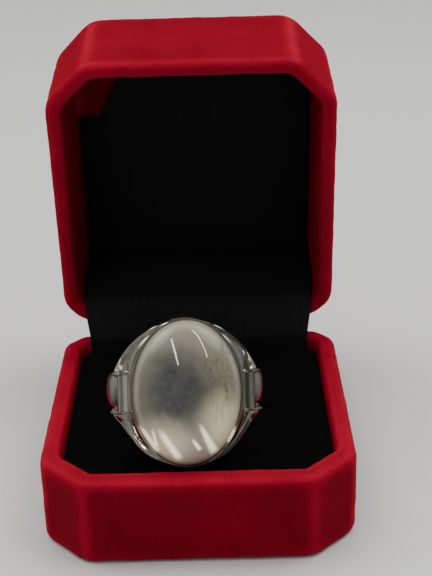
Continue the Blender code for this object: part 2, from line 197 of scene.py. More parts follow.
def closed(obj):
    """Print how large a piece's mesh is, and whether its surface is closed."""
    bm = bmesh.new()
    bm.from_mesh(obj.data)
    open_edges = sum(1 for edge in bm.edges if len(edge.link_faces) != 2)
    triangles = sum(len(face.verts) - 2 for face in bm.faces)
    volume = bm.calc_volume() * 1e6
    bm.free()
    print(f"{obj.name}: {triangles} triangles, {open_edges} open edges, {volume:.2f} cm3")


# %% Helpers that tell edges and faces apart
def middle(edge):
    return (edge.verts[0].co + edge.verts[1].co) / 2


def upright(edge):
    return (edge.verts[0].co.xy - edge.verts[1].co.xy).length < TINY


def on_outside(edge):
    """Whether an edge lies on one of the box's four outer sides."""
    centre = middle(edge)
    return max(abs(centre.x) - BOX_WIDTH / 2, abs(centre.y) - BOX_DEPTH / 2) > -TINY


def level(part, z):
    """Whether an edge or face lies flat at height z."""
    return all(abs(vertex.co.z - z) < TINY for vertex in part.verts)


def on_rim(edge, z):
    """Whether an edge at height z lies between an upright face and a level one."""
    return level(edge, z) and len({abs(face.normal.z) > 0.5 for face in edge.link_faces}) == 2


# %% [markdown]
# ## Helpers for materials
#
# A material is a small graph of nodes. `feed` sets or links a node's inputs in one go,
# which keeps each recipe readable from top to bottom. The other helpers each add one
# kind of node and give back what it puts out.

# %% Helpers for node graphs
def feed(tree, target, inputs):
    """Set a node's inputs. Each is a value, or another node's output to link."""
    for key, value in inputs.items():
        if isinstance(value, bpy.types.NodeSocket):
            tree.links.new(value, target.inputs[key])
        else:
            target.inputs[key].default_value = value
    return target


def node(tree, kind, inputs=None, **settings):
    """Add a node with these settings and inputs."""
    new = tree.nodes.new(kind)
    for key, value in settings.items():
        setattr(new, key, value)
    return feed(tree, new, inputs or {})


def sums(tree, operation, first, second=0.0, third=0.0, clamp=False):
    """One step of arithmetic."""
    inputs = {0: first, 1: second, 2: third}
    return node(tree, "ShaderNodeMath", inputs, operation=operation, use_clamp=clamp).outputs[0]


def times(tree, first, *others):
    """Several masks multiplied."""
    for other in others:
        first = sums(tree, "MULTIPLY", first, other)
    return first


def vectors(tree, operation, first, second=(0.0, 0.0, 0.0), third=(0.0, 0.0, 0.0)):
    """One step of arithmetic with vectors. A length and a dot product come out as a number."""
    new = node(tree, "ShaderNodeVectorMath", {0: first, 1: second, 2: third}, operation=operation)
    return new.outputs["Value" if operation in ("LENGTH", "DOT_PRODUCT") else "Vector"]


def fade(tree, value, start, end, before=0.0, after=1.0, way="SMOOTHSTEP"):
    """Go from before to after while a value goes from start to end."""
    return node(tree, "ShaderNodeMapRange", {
        "Value": value, "From Min": start, "From Max": end, "To Min": before, "To Max": after,
    }, interpolation_type=way).outputs["Result"]


def noise(tree, place, scale, detail, roughness=0.5):
    """Cloudy noise. Of its outputs, Fac is one grey and Color is three of them."""
    inputs = {"Vector": place, "Scale": scale, "Detail": detail, "Roughness": roughness}
    return node(tree, "ShaderNodeTexNoise", inputs).outputs


def within(tree, place, centre, size, turn=(0.0, 0.0, 0.0)):
    """Coordinates in which a patch with this centre, size and turn runs from -1 to 1."""
    inputs = {"Vector": place, "Location": centre, "Rotation": turn, "Scale": size}
    return node(tree, "ShaderNodeMapping", inputs, vector_type="TEXTURE").outputs["Vector"]


# %% Helpers for colours and surfaces
def mix(tree, factor, first, second, blend="MIX"):
    """Blend two colours by a factor."""
    inputs = {0: factor, 6: first, 7: second}
    return node(tree, "ShaderNodeMix", inputs, data_type="RGBA", blend_type=blend).outputs[2]


def ramp(tree, factor, stops):
    """A colour ramp: stops are (place, (red, green, blue))."""
    new = node(tree, "ShaderNodeValToRGB", {"Fac": factor})
    elements = new.color_ramp.elements
    while len(elements) < len(stops):
        elements.new(0.5)
    for element, (place, colour) in zip(elements, stops):
        element.position = place
        element.color = (*colour, 1.0)
    return new.outputs["Color"]


def emboss(tree, shader, height, strength, distance):
    """Let a height raise and lower the surface that the shader sees."""
    bump = node(tree, "ShaderNodeBump", {"Strength": strength, "Distance": distance, "Height": height})
    feed(tree, shader, {"Normal": bump.outputs["Normal"]})


def new_material(name, **constants):
    """A material with a Principled shader whose constant sockets are set here."""
    material = bpy.data.materials.new(name)
    material.use_nodes = True
    shader = material.node_tree.nodes["Principled BSDF"]
    for key, value in constants.items():
        shader.inputs[key.replace("_", " ")].default_value = value
    return material, material.node_tree, shader


def object_place(tree):
    return tree.nodes.new("ShaderNodeTexCoord").outputs["Object"]


# %% Helpers for shared groups of nodes
def new_group(name, inputs, outputs):
    """A node group with named inputs (with their usual values) and outputs."""
    group = bpy.data.node_groups.new(name, "ShaderNodeTree")
    for key, (kind, value) in inputs.items():
        socket = group.interface.new_socket(key, in_out="INPUT", socket_type=kind)
        if value is not None:
            socket.default_value = value
    for key, kind in outputs.items():
        group.interface.new_socket(key, in_out="OUTPUT", socket_type=kind)
    return group, group.nodes.new("NodeGroupInput").outputs, group.nodes.new("NodeGroupOutput")


def use_group(tree, group, inputs):
    """Place a group in a material with its own values, and give back its outputs."""
    new = tree.nodes.new("ShaderNodeGroup")
    new.node_tree = group
    return feed(tree, new, inputs).outputs


# %% [markdown]
# ## Shared effect: pile
#
# Velvet, flocking and felt all have short fibres that lean this way and that. From a
# hand's breadth away that shows as a fine grain, with soft cloudy patches where the
# pile was brushed. One group makes both, for the red velvet and for the black cloth.

# %% Build the pile group
pile, pile_in, pile_out = new_group(
    "pile",
    {
        "Place": ("NodeSocketVector", None),
        "Dark": ("NodeSocketColor", (0.1, 0.0, 0.0, 1.0)),
        "Light": ("NodeSocketColor", (0.4, 0.0, 0.0, 1.0)),
        "Grain": ("NodeSocketFloat", 3000.0),
        "Patches": ("NodeSocketFloat", 90.0),
    },
    {"Color": "NodeSocketColor", "Height": "NodeSocketFloat"},
)
fibres = noise(pile, pile_in["Place"], pile_in["Grain"], 3.0, 0.6)["Fac"]
brushed = noise(pile, pile_in["Place"], pile_in["Patches"], 2.0)["Fac"]
tone = sums(pile, "MULTIPLY_ADD", fibres, 0.55, -0.05)
tone = sums(pile, "MULTIPLY_ADD", brushed, 0.55, tone, clamp=True)
feed(pile, pile_out, {"Color": mix(pile, tone, pile_in["Dark"], pile_in["Light"]), "Height": fibres})
print("group", pile.name, "with", len(pile.nodes), "nodes")

# %% [markdown]
# ## Shared effect: specks
#
# Black cloth collects dust and lint. A cell pattern gives scattered points, and only the
# few cells whose random value is high show a speck.

# %% Build the specks group
specks, specks_in, specks_out = new_group(
    "specks",
    {
        "Place": ("NodeSocketVector", None),
        "Cells": ("NodeSocketFloat", 160.0),
        "Size": ("NodeSocketFloat", 0.05),
        "Rare": ("NodeSocketFloat", 0.9),
    },
    {"Mask": "NodeSocketFloat"},
)
cells = node(specks, "ShaderNodeTexVoronoi", {"Vector": specks_in["Place"], "Scale": specks_in["Cells"]})
lot = node(specks, "ShaderNodeTexWhiteNoise", {"Vector": cells.outputs["Color"]})
chosen = sums(specks, "GREATER_THAN", lot.outputs["Value"], specks_in["Rare"])
near = sums(specks, "LESS_THAN", cells.outputs["Distance"], specks_in["Size"])
feed(specks, specks_out, {"Mask": times(specks, chosen, near)})
print("group", specks.name, "with", len(specks.nodes), "nodes")

# %% [markdown]
# ## Shared effect: handling marks on metal
#
# Polished metal that has been worn carries fine scratches and a slightly duller film in
# patches. The same group serves the silver and the hinge, each with its own strength.

# %% Build the handling group
handling, handling_in, handling_out = new_group(
    "handling",
    {
        "Place": ("NodeSocketVector", None),
        "Bright": ("NodeSocketColor", (0.7, 0.7, 0.7, 1.0)),
        "Dull": ("NodeSocketColor", (0.5, 0.5, 0.5, 1.0)),
        "Low": ("NodeSocketFloat", 0.1),
        "High": ("NodeSocketFloat", 0.3),
        "Film": ("NodeSocketFloat", 300.0),
    },
    {"Color": "NodeSocketColor", "Roughness": "NodeSocketFloat", "Height": "NodeSocketFloat"},
)
film = noise(handling, handling_in["Place"], handling_in["Film"], 4.0)["Fac"]
stretched = node(handling, "ShaderNodeMapping", {
    "Vector": handling_in["Place"], "Rotation": (0.4, 0.2, 0.6), "Scale": (9000.0, 700.0, 2500.0),
})
scratches = noise(handling, stretched.outputs["Vector"], 1.0, 2.0)["Fac"]
amount = sums(handling, "MULTIPLY_ADD", film, 1.6, -0.3, clamp=True)
feed(handling, handling_out, {
    "Color": mix(handling, amount, handling_in["Bright"], handling_in["Dull"]),
    "Roughness": fade(handling, amount, 0.0, 1.0, handling_in["Low"], handling_in["High"], "LINEAR"),
    "Height": scratches,
})
print("group", handling.name, "with", len(handling.nodes), "nodes")

# %% [markdown]
# ## Finish: red velvet
#
# The covering is a deep, slightly cool red. Where the pile is seen along its fibres it
# looks bright, and where it turns away it sinks to a dark wine red. Sheen on the shader
# gives that soft bright edge, and the pile group gives the grain. Along the box's rounded
# edges the colour is painted paler, partly for pile flattened there and partly as painted
# sheen: each cup says where, as an attribute.

# %% Make the velvet
PRESSED_AND_SHEEN = "pressed_pile_and_sheen"
velvet, tree, shader = new_material(
    "velvet_red", Roughness=0.95, Specular_IOR_Level=0.06, Sheen_Weight=0.30,
    Sheen_Roughness=0.35, Sheen_Tint=(0.75, 0.012, 0.045, 1.0),
)
velvet_pile = use_group(tree, pile, {
    "Place": object_place(tree), "Dark": (0.085, 0.0016, 0.0050, 1.0), "Light": (0.28, 0.0045, 0.0160, 1.0),
    "Grain": 2600.0, "Patches": 110.0,
})
# Paler along the rounded edges: partly flattened pile, partly painted sheen.
pressed_and_sheen = node(tree, "ShaderNodeAttribute", attribute_name=PRESSED_AND_SHEEN).outputs["Fac"]
paler_with_sheen = mix(tree, 1.0, velvet_pile["Color"], (1.9, 2.6, 2.3, 1.0), blend="MULTIPLY")
feed(tree, shader, {"Base Color": mix(tree, pressed_and_sheen, velvet_pile["Color"], paler_with_sheen)})
emboss(tree, shader, velvet_pile["Height"], 0.5, 0.0002)
print("material", velvet.name)

# %% [markdown]
# ## Finish: black cloth and pad
#
# The pad and the lining drink up almost all light. They are not a flat black, though: a
# faint cloudiness of the flock and a few pale specks of lint show in strong light.

# %% Make the black cloths
def black_cloth(name, dark, light, grain, rare, place_from):
    """Near-black cloth with lint. place_from is Object, or UV where the cloth bends."""
    material, tree, shader = new_material(
        name, Roughness=0.95, Specular_IOR_Level=0.05, Sheen_Weight=0.01, Sheen_Roughness=0.5,
    )
    place = tree.nodes.new("ShaderNodeTexCoord").outputs[place_from]
    black = use_group(tree, pile, {
        "Place": place, "Dark": (dark, dark, dark, 1.0), "Light": (light, light * 0.96, light * 0.98, 1.0),
        "Grain": grain, "Patches": 60.0,
    })
    lint = use_group(tree, specks, {"Place": place, "Cells": 210.0, "Size": 0.032, "Rare": rare})
    colour = mix(tree, lint["Mask"], black["Color"], (0.09, 0.09, 0.095, 1.0))
    feed(tree, shader, {"Base Color": colour})
    emboss(tree, shader, black["Height"], 0.35, 0.00015)
    return material


black_pad = black_cloth("pad_flock", 0.0006, 0.0026, 2200.0, 0.93, "Object")
black_lining = black_cloth("lining_weave", 0.0055, 0.0230, 3000.0, 0.95, "UV")
print("materials", black_pad.name, black_lining.name)

# %% [markdown]
# ## Finish: silver and steel
#
# Polished silver takes nearly all its look from what it mirrors: the dark pad, the pale
# light above and the red walls. It needs only a little warmth, a film that dulls it in
# patches, and hair-fine scratches. The hinge is plain nickelled steel, duller all over.

# %% Make the metals
def metal(name, bright, dull, low, high, scratch):
    material, tree, shader = new_material(name, Metallic=1.0)
    marks = use_group(tree, handling, {
        "Place": object_place(tree), "Bright": bright, "Dull": dull, "Low": low, "High": high, "Film": 260.0,
    })
    feed(tree, shader, {"Base Color": marks["Color"], "Roughness": marks["Roughness"]})
    emboss(tree, shader, marks["Height"], scratch, 0.00002)
    return material


silver = metal("polished_silver", (0.88, 0.86, 0.78, 1.0), (0.72, 0.70, 0.62, 1.0), 0.07, 0.16, 0.08)
steel = metal("nickelled_steel", (0.62, 0.62, 0.61, 1.0), (0.42, 0.42, 0.41, 1.0), 0.25, 0.42, 0.5)
print("materials", silver.name, steel.name)

# %% [markdown]
# ## The box's two cups
#
# Base and lid are the same kind of cup: an octagon with a thick, softly rounded rim. A
# cube is cut at its four upright edges, its top is inset by the wall's thickness, folded
# in a little further on the base, and pushed down. Then the rims, foot and corners are
# rounded with bevels. A voxel remesh evens out the mesh, so that a fine uneven
# displacement can give it the slightly lumpy surface of glued velvet.

# %% Mark where the pile is flattened and sheen is painted
FLAT, ROUND = 0.995, 0.950
PRESSED_AND_SHEEN_SPREAD = 14


def press_and_sheen_edges(cup):
    """Mark where the pile is flattened and sheen is painted: along every rounded edge, fading out over the
    faces.

    A face is flat where its normal lies this close to one of the octagon's own directions.
    """
    mesh = cup.data
    normals = np.empty(len(mesh.vertices) * 3)
    mesh.vertex_normals.foreach_get("vector", normals)
    slant = math.sqrt(0.5)
    flat_ways = np.array([(1, 0, 0), (0, 1, 0), (0, 0, 1), (slant, slant, 0), (slant, -slant, 0)])
    flatness = np.abs(normals.reshape(-1, 3) @ flat_ways.T).max(axis=1)
    amount = np.clip((FLAT - flatness) / (FLAT - ROUND), 0.0, 1.0)
    ends = np.empty(len(mesh.edges) * 2, dtype=int)
    mesh.edges.foreach_get("vertices", ends)
    one, other = ends.reshape(-1, 2).T
    total = len(amount)
    count = np.bincount(ends, minlength=total)
    for _ in range(PRESSED_AND_SHEEN_SPREAD):
        around = np.bincount(one, amount[other], total) + np.bincount(other, amount[one], total)
        amount = 0.5 * amount + 0.5 * around / count
    # Store how much each point is painted paler, for flattened pile and painted sheen.
    mesh.attributes.new(PRESSED_AND_SHEEN, "FLOAT", "POINT").data.foreach_set("value", amount)


# %% Make one velvet cup
INNER_ROUND = 0.0009
FLOOR_ROUND = 0.0005
CUP_VOXEL = 0.00045
CUP_LUMPS = 0.00022
cloth_lumps = bpy.data.textures.new("cloth_lumps", "CLOUDS")
cloth_lumps.noise_scale = 0.0035
cloth_lumps.noise_depth = 2


def cut_corners(front, inset=0.0):
    """In edit mode, cut the upright edges off: more at the front, which is at -y or at +y."""
    lost = inset * (2 - math.sqrt(2))
    for side, cut in ((front, FRONT_CUT), (-front, BACK_CUT)):
        pick("EDGE", lambda edge: upright(edge) and middle(edge).y * side > 0)
        bpy.ops.mesh.bevel(offset=cut - lost, segments=1, affect="EDGES")


def even_out(piece, voxel):
    """Give a cloth-covered piece an even, gently rounded mesh."""
    finish_with(piece, "REMESH", mode="VOXEL", voxel_size=voxel)
    finish_with(piece, "SMOOTH", factor=0.5, iterations=3)


def roughen(piece, texture, height):
    """Raise and lower a piece's surface a little by a cloudy texture."""
    finish_with(piece, "DISPLACE", texture=texture, strength=height, mid_level=0.5, texture_coords="LOCAL")


def velvet_cup(name, height, thickness, foot_round, front, folded_in=(1, 1, 1)):
    """An eight-sided cup that stands on z = 0, its mouth up and narrowed to the shares in folded_in."""
    cup = begin(
        name, bpy.ops.mesh.primitive_cube_add, size=1, location=(0, 0, height / 2),
        scale=(BOX_WIDTH, BOX_DEPTH, height),
    )
    bpy.ops.object.mode_set(mode="EDIT")
    cut_corners(front)
    pick("FACE", lambda face: level(face, height))
    bpy.ops.mesh.inset(thickness=WALL, depth=0, use_even_offset=True)
    back_edge = (0, -front * (BOX_DEPTH / 2 - WALL), height)
    bpy.ops.transform.resize(value=folded_in, center_override=back_edge)
    bpy.ops.mesh.extrude_region_move(TRANSFORM_OT_translate={"value": (0, 0, thickness - height)})
    pick("EDGE", lambda edge: upright(edge) and not on_outside(edge))
    bpy.ops.mesh.bevel(offset=INNER_ROUND, segments=4, affect="EDGES")
    pick("EDGE", lambda edge: upright(edge) and on_outside(edge))
    bpy.ops.mesh.bevel(offset=CORNER_SOFT, segments=6, affect="EDGES")
    for z, roundness, steps in ((height, RIM_ROUND, 6), (0.0, foot_round, 5), (thickness, FLOOR_ROUND, 3)):
        pick("EDGE", lambda edge: on_rim(edge, z))
        bpy.ops.mesh.bevel(offset=roundness, segments=steps, affect="EDGES", clamp_overlap=False)
    bpy.ops.object.mode_set(mode="OBJECT")
    even_out(cup, CUP_VOXEL)
    roughen(cup, cloth_lumps, CUP_LUMPS)
    press_and_sheen_edges(cup)
    dress(cup, velvet)
    return cup


# %% The base, as it stands
base_velvet = velvet_cup(
    "base_velvet", BASE_HEIGHT, BASE_FLOOR, FOOT_ROUND, front=-1, folded_in=FOLDED_MOUTH
)
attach(base_velvet, "base")
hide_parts("base_shell")
closed(base_velvet)

# %% [markdown]
# ## Opening the lid
#
# The lid is made mouth up like the base. It is then turned over onto the hinge, shut,
# and swung open about the hinge's axis in edit mode, so that its object stays unturned.

# %% The lid, turned over and opened
lid_velvet = velvet_cup("lid_velvet", LID_HEIGHT, LID_CEILING, CROWN_ROUND, front=1)


def swing(obj, angle, about):
    """Turn a whole mesh about a line along X. The operator turns the other way round."""
    choose(obj)
    bpy.ops.object.mode_set(mode="EDIT")
    bpy.ops.mesh.select_all(action="SELECT")
    bpy.ops.transform.rotate(value=-angle, orient_axis="X", center_override=tuple(about))
    bpy.ops.object.mode_set(mode="OBJECT")


def open_with_lid(obj):
    """Swing a piece that was made in the shut lid's place open with it."""
    swing(obj, -OPEN_ANGLE, HINGE)


swing(lid_velvet, math.pi, Vector((0.0, 0.0, LID_HEIGHT / 2)))
lid_velvet.location.z = HINGE.z + LID_RIM
settle(lid_velvet)
open_with_lid(lid_velvet)
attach(lid_velvet, "lid")
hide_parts("lid_shell")
closed(lid_velvet)
lid_points = np.array([vertex.co for vertex in lid_velvet.data.vertices])
print("lid spans", in_mm((lid_points.min(axis=0).tolist(), lid_points.max(axis=0).tolist())))
print("model's lid", in_mm(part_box("lid_shell")))

# %% [markdown]
# ## The hinge
#
# A ring box has a small rolled hinge behind it: two knuckles on the base, one on the
# lid, and a pin through all three. A knuckle is a cylinder with a bent leaf that goes
# into the wall under the velvet, and a bore for the pin.

# %% A flat outline drawn out into a slab
def slab(name, outline, low, high, axis):
    """A solid with this outline in the two other axes, from low to high along X or Y."""
    solid = begin(name, bpy.ops.mesh.primitive_circle_add, vertices=len(outline), radius=1, fill_type="NGON")
    for vertex, (a, b) in zip(solid.data.vertices, outline):
        vertex.co = (low, a, b) if axis == "X" else (a, low, b)
    along = (high - low, 0, 0) if axis == "X" else (0, high - low, 0)
    bpy.ops.object.mode_set(mode="EDIT")
    bpy.ops.mesh.select_all(action="SELECT")
    bpy.ops.mesh.extrude_region_move(TRANSFORM_OT_translate={"value": along})
    face_outwards()
    bpy.ops.object.mode_set(mode="OBJECT")
    return solid


# %% One knuckle with its leaf
KNUCKLE = 0.0011
KNUCKLE_LENGTH = 0.0090
KNUCKLE_SOFT = 0.00012
BORE = 0.0007
LEAF_DROP = 0.0024
LEAF_WALL = -0.0021
LEAF_SHY = 0.0001


def rod(name, radius, low, high):
    """A rod along the hinge's axis."""
    return begin(
        name, bpy.ops.mesh.primitive_cylinder_add, vertices=40, radius=radius, depth=high - low,
        end_fill_type="NGON", location=((low + high) / 2, HINGE.y, HINGE.z), rotation=(0, math.pi / 2, 0),
    )


def knuckle(name, low, high, up):
    """A rolled knuckle from low to high, with its leaf up into the lid's wall or down into the base's."""
    near = LID_RIM + RIM_ROUND if up else BASE_HEIGHT - RIM_ROUND - HINGE.z
    far = near + LEAF_DROP if up else near - LEAF_DROP
    bend = far - KNUCKLE if up else far + KNUCKLE
    corners = [(LEAF_WALL, near), (LEAF_WALL, far), (-KNUCKLE / 2, bend), (KNUCKLE / 2, 0), (-KNUCKLE / 2, 0)]
    outline = [(HINGE.y + y, HINGE.z + z) for y, z in corners]
    rolled = rod(name, KNUCKLE, low, high)
    combine(rolled, slab("leaf", outline, low + LEAF_SHY, high - LEAF_SHY, "X"), "UNION")
    combine(rolled, rod("bore", BORE, low - GAP, high + GAP), "DIFFERENCE")
    corner = math.radians(50)
    finish_with(rolled, "BEVEL", width=KNUCKLE_SOFT, segments=2, limit_method="ANGLE", angle_limit=corner)
    dress(rolled, steel, sharp=35)
    return rolled


# %% The three knuckles
inner = KNUCKLE_LENGTH / 2
outer = inner + GAP
for name, low, high in (
    ("base_knuckle_left", -outer - KNUCKLE_LENGTH, -outer),
    ("base_knuckle_right", outer, outer + KNUCKLE_LENGTH),
):
    piece = knuckle(name, low, high, up=False)
    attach(piece, "base")
    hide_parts("base_shell")
    closed(piece)
lid_knuckle = knuckle("lid_knuckle", -inner, inner, up=True)
open_with_lid(lid_knuckle)
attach(lid_knuckle, "lid")
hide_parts("lid_shell")
closed(lid_knuckle)
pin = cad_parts["hinge_pin"]
pin.data.materials.clear()
pin.data.materials.append(steel)

# %% [markdown]
# ## The black pad
#
# The pad is a block of foam covered in black flock. It fills the base to just under the
# rim and has a narrow slit for a ring's shank. It is an octagon like the box, cut away a
# little at the back for the cloth, with soft edges and a barely crowned top.

# %% The pad
PAD_INSET = WALL + GAP
PAD_FOOT = BASE_FLOOR + GAP
PAD_BACK = 0.0225
PAD_CROWN = 0.0001
PAD_TOP_LAYER = 0.0012
PAD_VOXEL = 0.00034
PAD_LUMPS = 0.00012
SLIT_LENGTH, SLIT_WIDTH, SLIT_FOOT = 0.0260, 0.0010, 0.0073
pad_half_x = BOX_WIDTH / 2 - PAD_INSET - FOLD_SIDE
pad_half_y = BOX_DEPTH / 2 - PAD_INSET - FOLD_FRONT
pad_height = PAD_TOP - PAD_FOOT
pad = begin(
    "pad_cushion", bpy.ops.mesh.primitive_cube_add, size=1, location=(0, 0, PAD_FOOT + pad_height / 2),
    scale=(2 * pad_half_x, 2 * pad_half_y, pad_height),
)
bpy.ops.object.mode_set(mode="EDIT")
cut_corners(front=-1, inset=PAD_INSET)
bpy.ops.mesh.select_all(action="SELECT")
bpy.ops.mesh.bisect(plane_co=(0, PAD_BACK, 0), plane_no=(0, 1, 0), use_fill=True, clear_outer=True)
face_outwards()
bpy.ops.object.mode_set(mode="OBJECT")
slit_sides = [(side * SLIT_LENGTH / 2, SLIT_FOOT) for side in (-1, 1)]
slit_sides += [(side * SLIT_LENGTH / 2, BASE_HEIGHT) for side in (1, -1)]
combine(pad, slab("slit", slit_sides, -SLIT_WIDTH / 2, SLIT_WIDTH / 2, "Y"), "DIFFERENCE")
print("pad of", in_mm([(2 * pad_half_x, 2 * pad_half_y, pad_height)])[0], "mm with its slit")

# %% Soften the pad
even_out(pad, PAD_VOXEL)
for vertex in pad.data.vertices:
    if vertex.co.z > PAD_TOP - PAD_TOP_LAYER:
        inward = 1 - max(abs(vertex.co.x) / pad_half_x, abs(vertex.co.y) / pad_half_y) ** 4
        vertex.co.z += PAD_CROWN * max(inward, 0.0)
roughen(pad, cloth_lumps, PAD_LUMPS)
dress(pad, black_pad)
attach(pad, "base")
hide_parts("ring_pad")
closed(pad)

# %% [markdown]
# ## The black lining
#
# One strip of black cloth starts behind the pad, climbs over both rims, folds forward
# into the lid as a shelf, bends up at a crease and runs on over a card to the top of the
# lid. It is drawn out row by row from one edge, the way a strip of cloth is laid: each
# new row is an extruded edge that is moved into place and stretched to its width.

# %% The strip's way, from behind the pad to the top of the lid
LINING_FACE = HINGE.z + 0.0213
CARD_END = -BOX_DEPTH / 2 + PAD_INSET
CARD_SPARE = 0.0002
SHELF_Y = HINGE.y - 0.0061
TUCK_Y = 0.0233
TUCK_FOOT, TUCK_TOP = 0.0113, 0.0155
TUCK_HALF, SHELF_HALF, CARD_HALF = 0.0209, 0.0217, 0.0226
LEAVE_PULL = Vector((0, 0.42, 0.91)) * 0.0038
MEET_PULL = Vector((0, -0.75, -0.66)) * 0.0021


def opened(y, z):
    """Where a point of the shut lid lies with the lid open."""
    turn = Matrix.Rotation(-OPEN_ANGLE, 3, "X")
    return HINGE + turn @ (Vector((0, y, z)) - HINGE)


lip = opened(SHELF_Y, HINGE.z + GAP)
crease = opened(SHELF_Y, LINING_FACE + GAP)
top = opened(CARD_END + CARD_SPARE, LINING_FACE + GAP)
start = Vector((0, TUCK_Y, TUCK_FOOT))
rim = Vector((0, TUCK_Y, TUCK_TOP))
leave, meet = rim + LEAVE_PULL, lip + MEET_PULL
rows = [(start.lerp(rim, i / 6), TUCK_HALF) for i in range(6)]
for t in (i / 8 for i in range(9)):
    point = rim * (1 - t) ** 3 + leave * 3 * t * (1 - t) ** 2 + meet * 3 * t * t * (1 - t) + lip * t ** 3
    rows.append((point, TUCK_HALF + (SHELF_HALF - TUCK_HALF) * min(t * 2, 1.0)))
for i in range(1, 15):
    rows.append((lip.lerp(crease, i / 14), SHELF_HALF + (CARD_HALF - SHELF_HALF) * min(i / 4, 1.0)))
rows += [(crease.lerp(top, i / 26), CARD_HALF) for i in range(1, 27)]
strip_length = sum((b[0] - a[0]).length for a, b in zip(rows, rows[1:]))
print("strip of", len(rows), "rows,", round(strip_length * 1000, 1), "mm long")

# %% Draw the strip out
lining = begin("lining_cloth", bpy.ops.mesh.primitive_plane_add, size=1, location=(0, 0, 0))
for vertex in lining.data.vertices:
    here, half = rows[0] if vertex.co.y < 0 else rows[1]
    vertex.co = (math.copysign(half, vertex.co.x), here.y, here.z)
bpy.ops.object.mode_set(mode="EDIT")
pick("EDGE", lambda edge: all(abs(v.co.z - rows[1][0].z) < TINY for v in edge.verts))
for (before, width), (here, half) in zip(rows[1:], rows[2:]):
    bpy.ops.mesh.extrude_region_move(TRANSFORM_OT_translate={"value": tuple(here - before)})
    bpy.ops.transform.resize(value=(half / width, 1, 1), center_override=tuple(here))
bpy.ops.object.mode_set(mode="OBJECT")
print("strip drawn out with", len(lining.data.polygons), "faces")

# %% [markdown]
# ### Cutting the strip to shape
#
# The strip gets its place along and across as UV coordinates while it is still a plain
# rectangle, so the cloth's grain follows it round the folds. Then the card's corners are
# cut off with bisect, like the box's corners. The upper left corner of the real lining
# is missing, so it is marked out with two more cuts and its faces are deleted.

# %% Mark the cloth's own coordinates
lengths = {}
run = 0.0
for (before, _), (here, _) in zip([rows[0]] + rows, rows):
    run += (here - before).length
    lengths[(round(here.y, 5), round(here.z, 5))] = run
cloth_uv = lining.data.uv_layers.new(name="cloth")
for loop in lining.data.loops:
    co = lining.data.vertices[loop.vertex_index].co
    near_row = min(lengths, key=lambda key: abs(key[0] - co.y) + abs(key[1] - co.z))
    cloth_uv.data[loop.index].uv = (co.x, lengths[near_row])
print("cloth's own coordinates run to", round(run * 1000, 1), "mm")

# %% Cut the corners and take the missing one out
NOTCH_TOP = (-0.0100, 0.0)
NOTCH_BEND = (-0.0184, 0.0166)
LONG_WAY = 0.03
down = (crease - top).normalized()
card_left = rows[-1][1]


def on_card(face):
    return face.calc_center_median().z > crease.z + 0.0002


def card_point(x, drop):
    """A point of the card, x across and drop below its top."""
    return top + Vector((x, 0, 0)) + down * drop


choose(lining)
bpy.ops.object.mode_set(mode="EDIT")
pick("EDGE", lambda edge: abs(edge.verts[0].co.x - edge.verts[1].co.x) > LONG_WAY)
bpy.ops.mesh.subdivide(number_cuts=29)
chamfer = FRONT_CUT - PAD_INSET * (2 - math.sqrt(2))
for side in (-1, 1):
    corner_start = card_point(side * (card_left - chamfer), 0)
    away = Vector((side, 0, 0)) - down
    pick("FACE", on_card)
    bpy.ops.mesh.bisect(plane_co=tuple(corner_start), plane_no=tuple(away.normalized()), clear_outer=True)
notch_top = card_point(*NOTCH_TOP)
notch_bend = card_point(*NOTCH_BEND)
slope = (notch_bend - notch_top).normalized()
lean_out = Vector((0, 1, 0)).cross(slope).normalized()
lean_out = lean_out if lean_out.x < 0 else -lean_out
pick("FACE", on_card)
bpy.ops.mesh.bisect(plane_co=tuple(notch_top), plane_no=tuple(lean_out))
pick("FACE", on_card)
bpy.ops.mesh.bisect(plane_co=tuple(notch_bend), plane_no=tuple(-down))


def in_notch(face):
    centre = face.calc_center_median()
    return on_card(face) and (centre - notch_top).dot(lean_out) > 0 and (centre - notch_bend).dot(down) < 0


pick("FACE", in_notch)
bpy.ops.mesh.delete(type="FACE")
bpy.ops.object.mode_set(mode="OBJECT")
cloth_area = sum(face.area for face in lining.data.polygons)
print("cloth area", round(cloth_area * 1e6), "mm2 of", round(strip_length * 2 * card_left * 1e6))

# %% Give the strip its thickness and soft folds
CLOTH_THICKNESS = 0.0005
CREASE_HEIGHT = 0.0004
creases = bpy.data.textures.new("cloth_creases", "CLOUDS")
creases.noise_scale = 0.009
creases.noise_depth = 1
finish_with(lining, "SUBSURF", levels=1, render_levels=1)
roughen(lining, creases, CREASE_HEIGHT)
finish_with(lining, "SOLIDIFY", thickness=CLOTH_THICKNESS, offset=-1)
dress(lining, black_lining)
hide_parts("lid_lining", "hinge_cloth")
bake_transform(lining)
closed(lining)

# %% [markdown]
# ## The ring
#
# The ring is worked out in its own frame first: the finger hole runs along Y, the stone
# faces +Z, and the origin is the middle of the hole. Only when a part is finished is it
# laid down on the pad, leaning back on the front end of its head.

# %% Sizes of the ring
FINGER = 0.01025
SEAT = 0.0113
STONE_X, STONE_Y = 0.00875, 0.0117
STONE_FOOT = SEAT + GAP
GIRDLE = 0.0009
DOME = 0.0052
BEZEL_FIT = 0.00015
BEZEL_X, BEZEL_Y = STONE_X + BEZEL_FIT, STONE_Y + BEZEL_FIT
BEZEL_WALL = 0.0002
BEZEL_TOP = 0.0130
HEAD_X, HEAD_Y = 0.01255, 0.0121
WING_TOP = 0.0109
WING_SAG = 0.0033
STRAP = 0.0061
RING_MIDDLE = Vector((-0.0022, -0.0049325, 0.020374))
RING_TURNS = (math.radians(65.5405), math.radians(1.4), math.radians(3.0))


def lay_down(obj):
    """Put a finished part of the ring where the ring lies."""
    obj.location = RING_MIDDLE
    obj.rotation_euler = RING_TURNS
    return settle(obj)


print("ring for a", round(FINGER * 2000, 1), "mm finger, middle at", in_mm([RING_MIDDLE], 2)[0])

# %% [markdown]
# ### The stone
#
# A cabochon is a dome with no facets. A sphere is cut in half, given a short upright
# girdle and a flat back, and scaled to the oval and to the height of the dome.

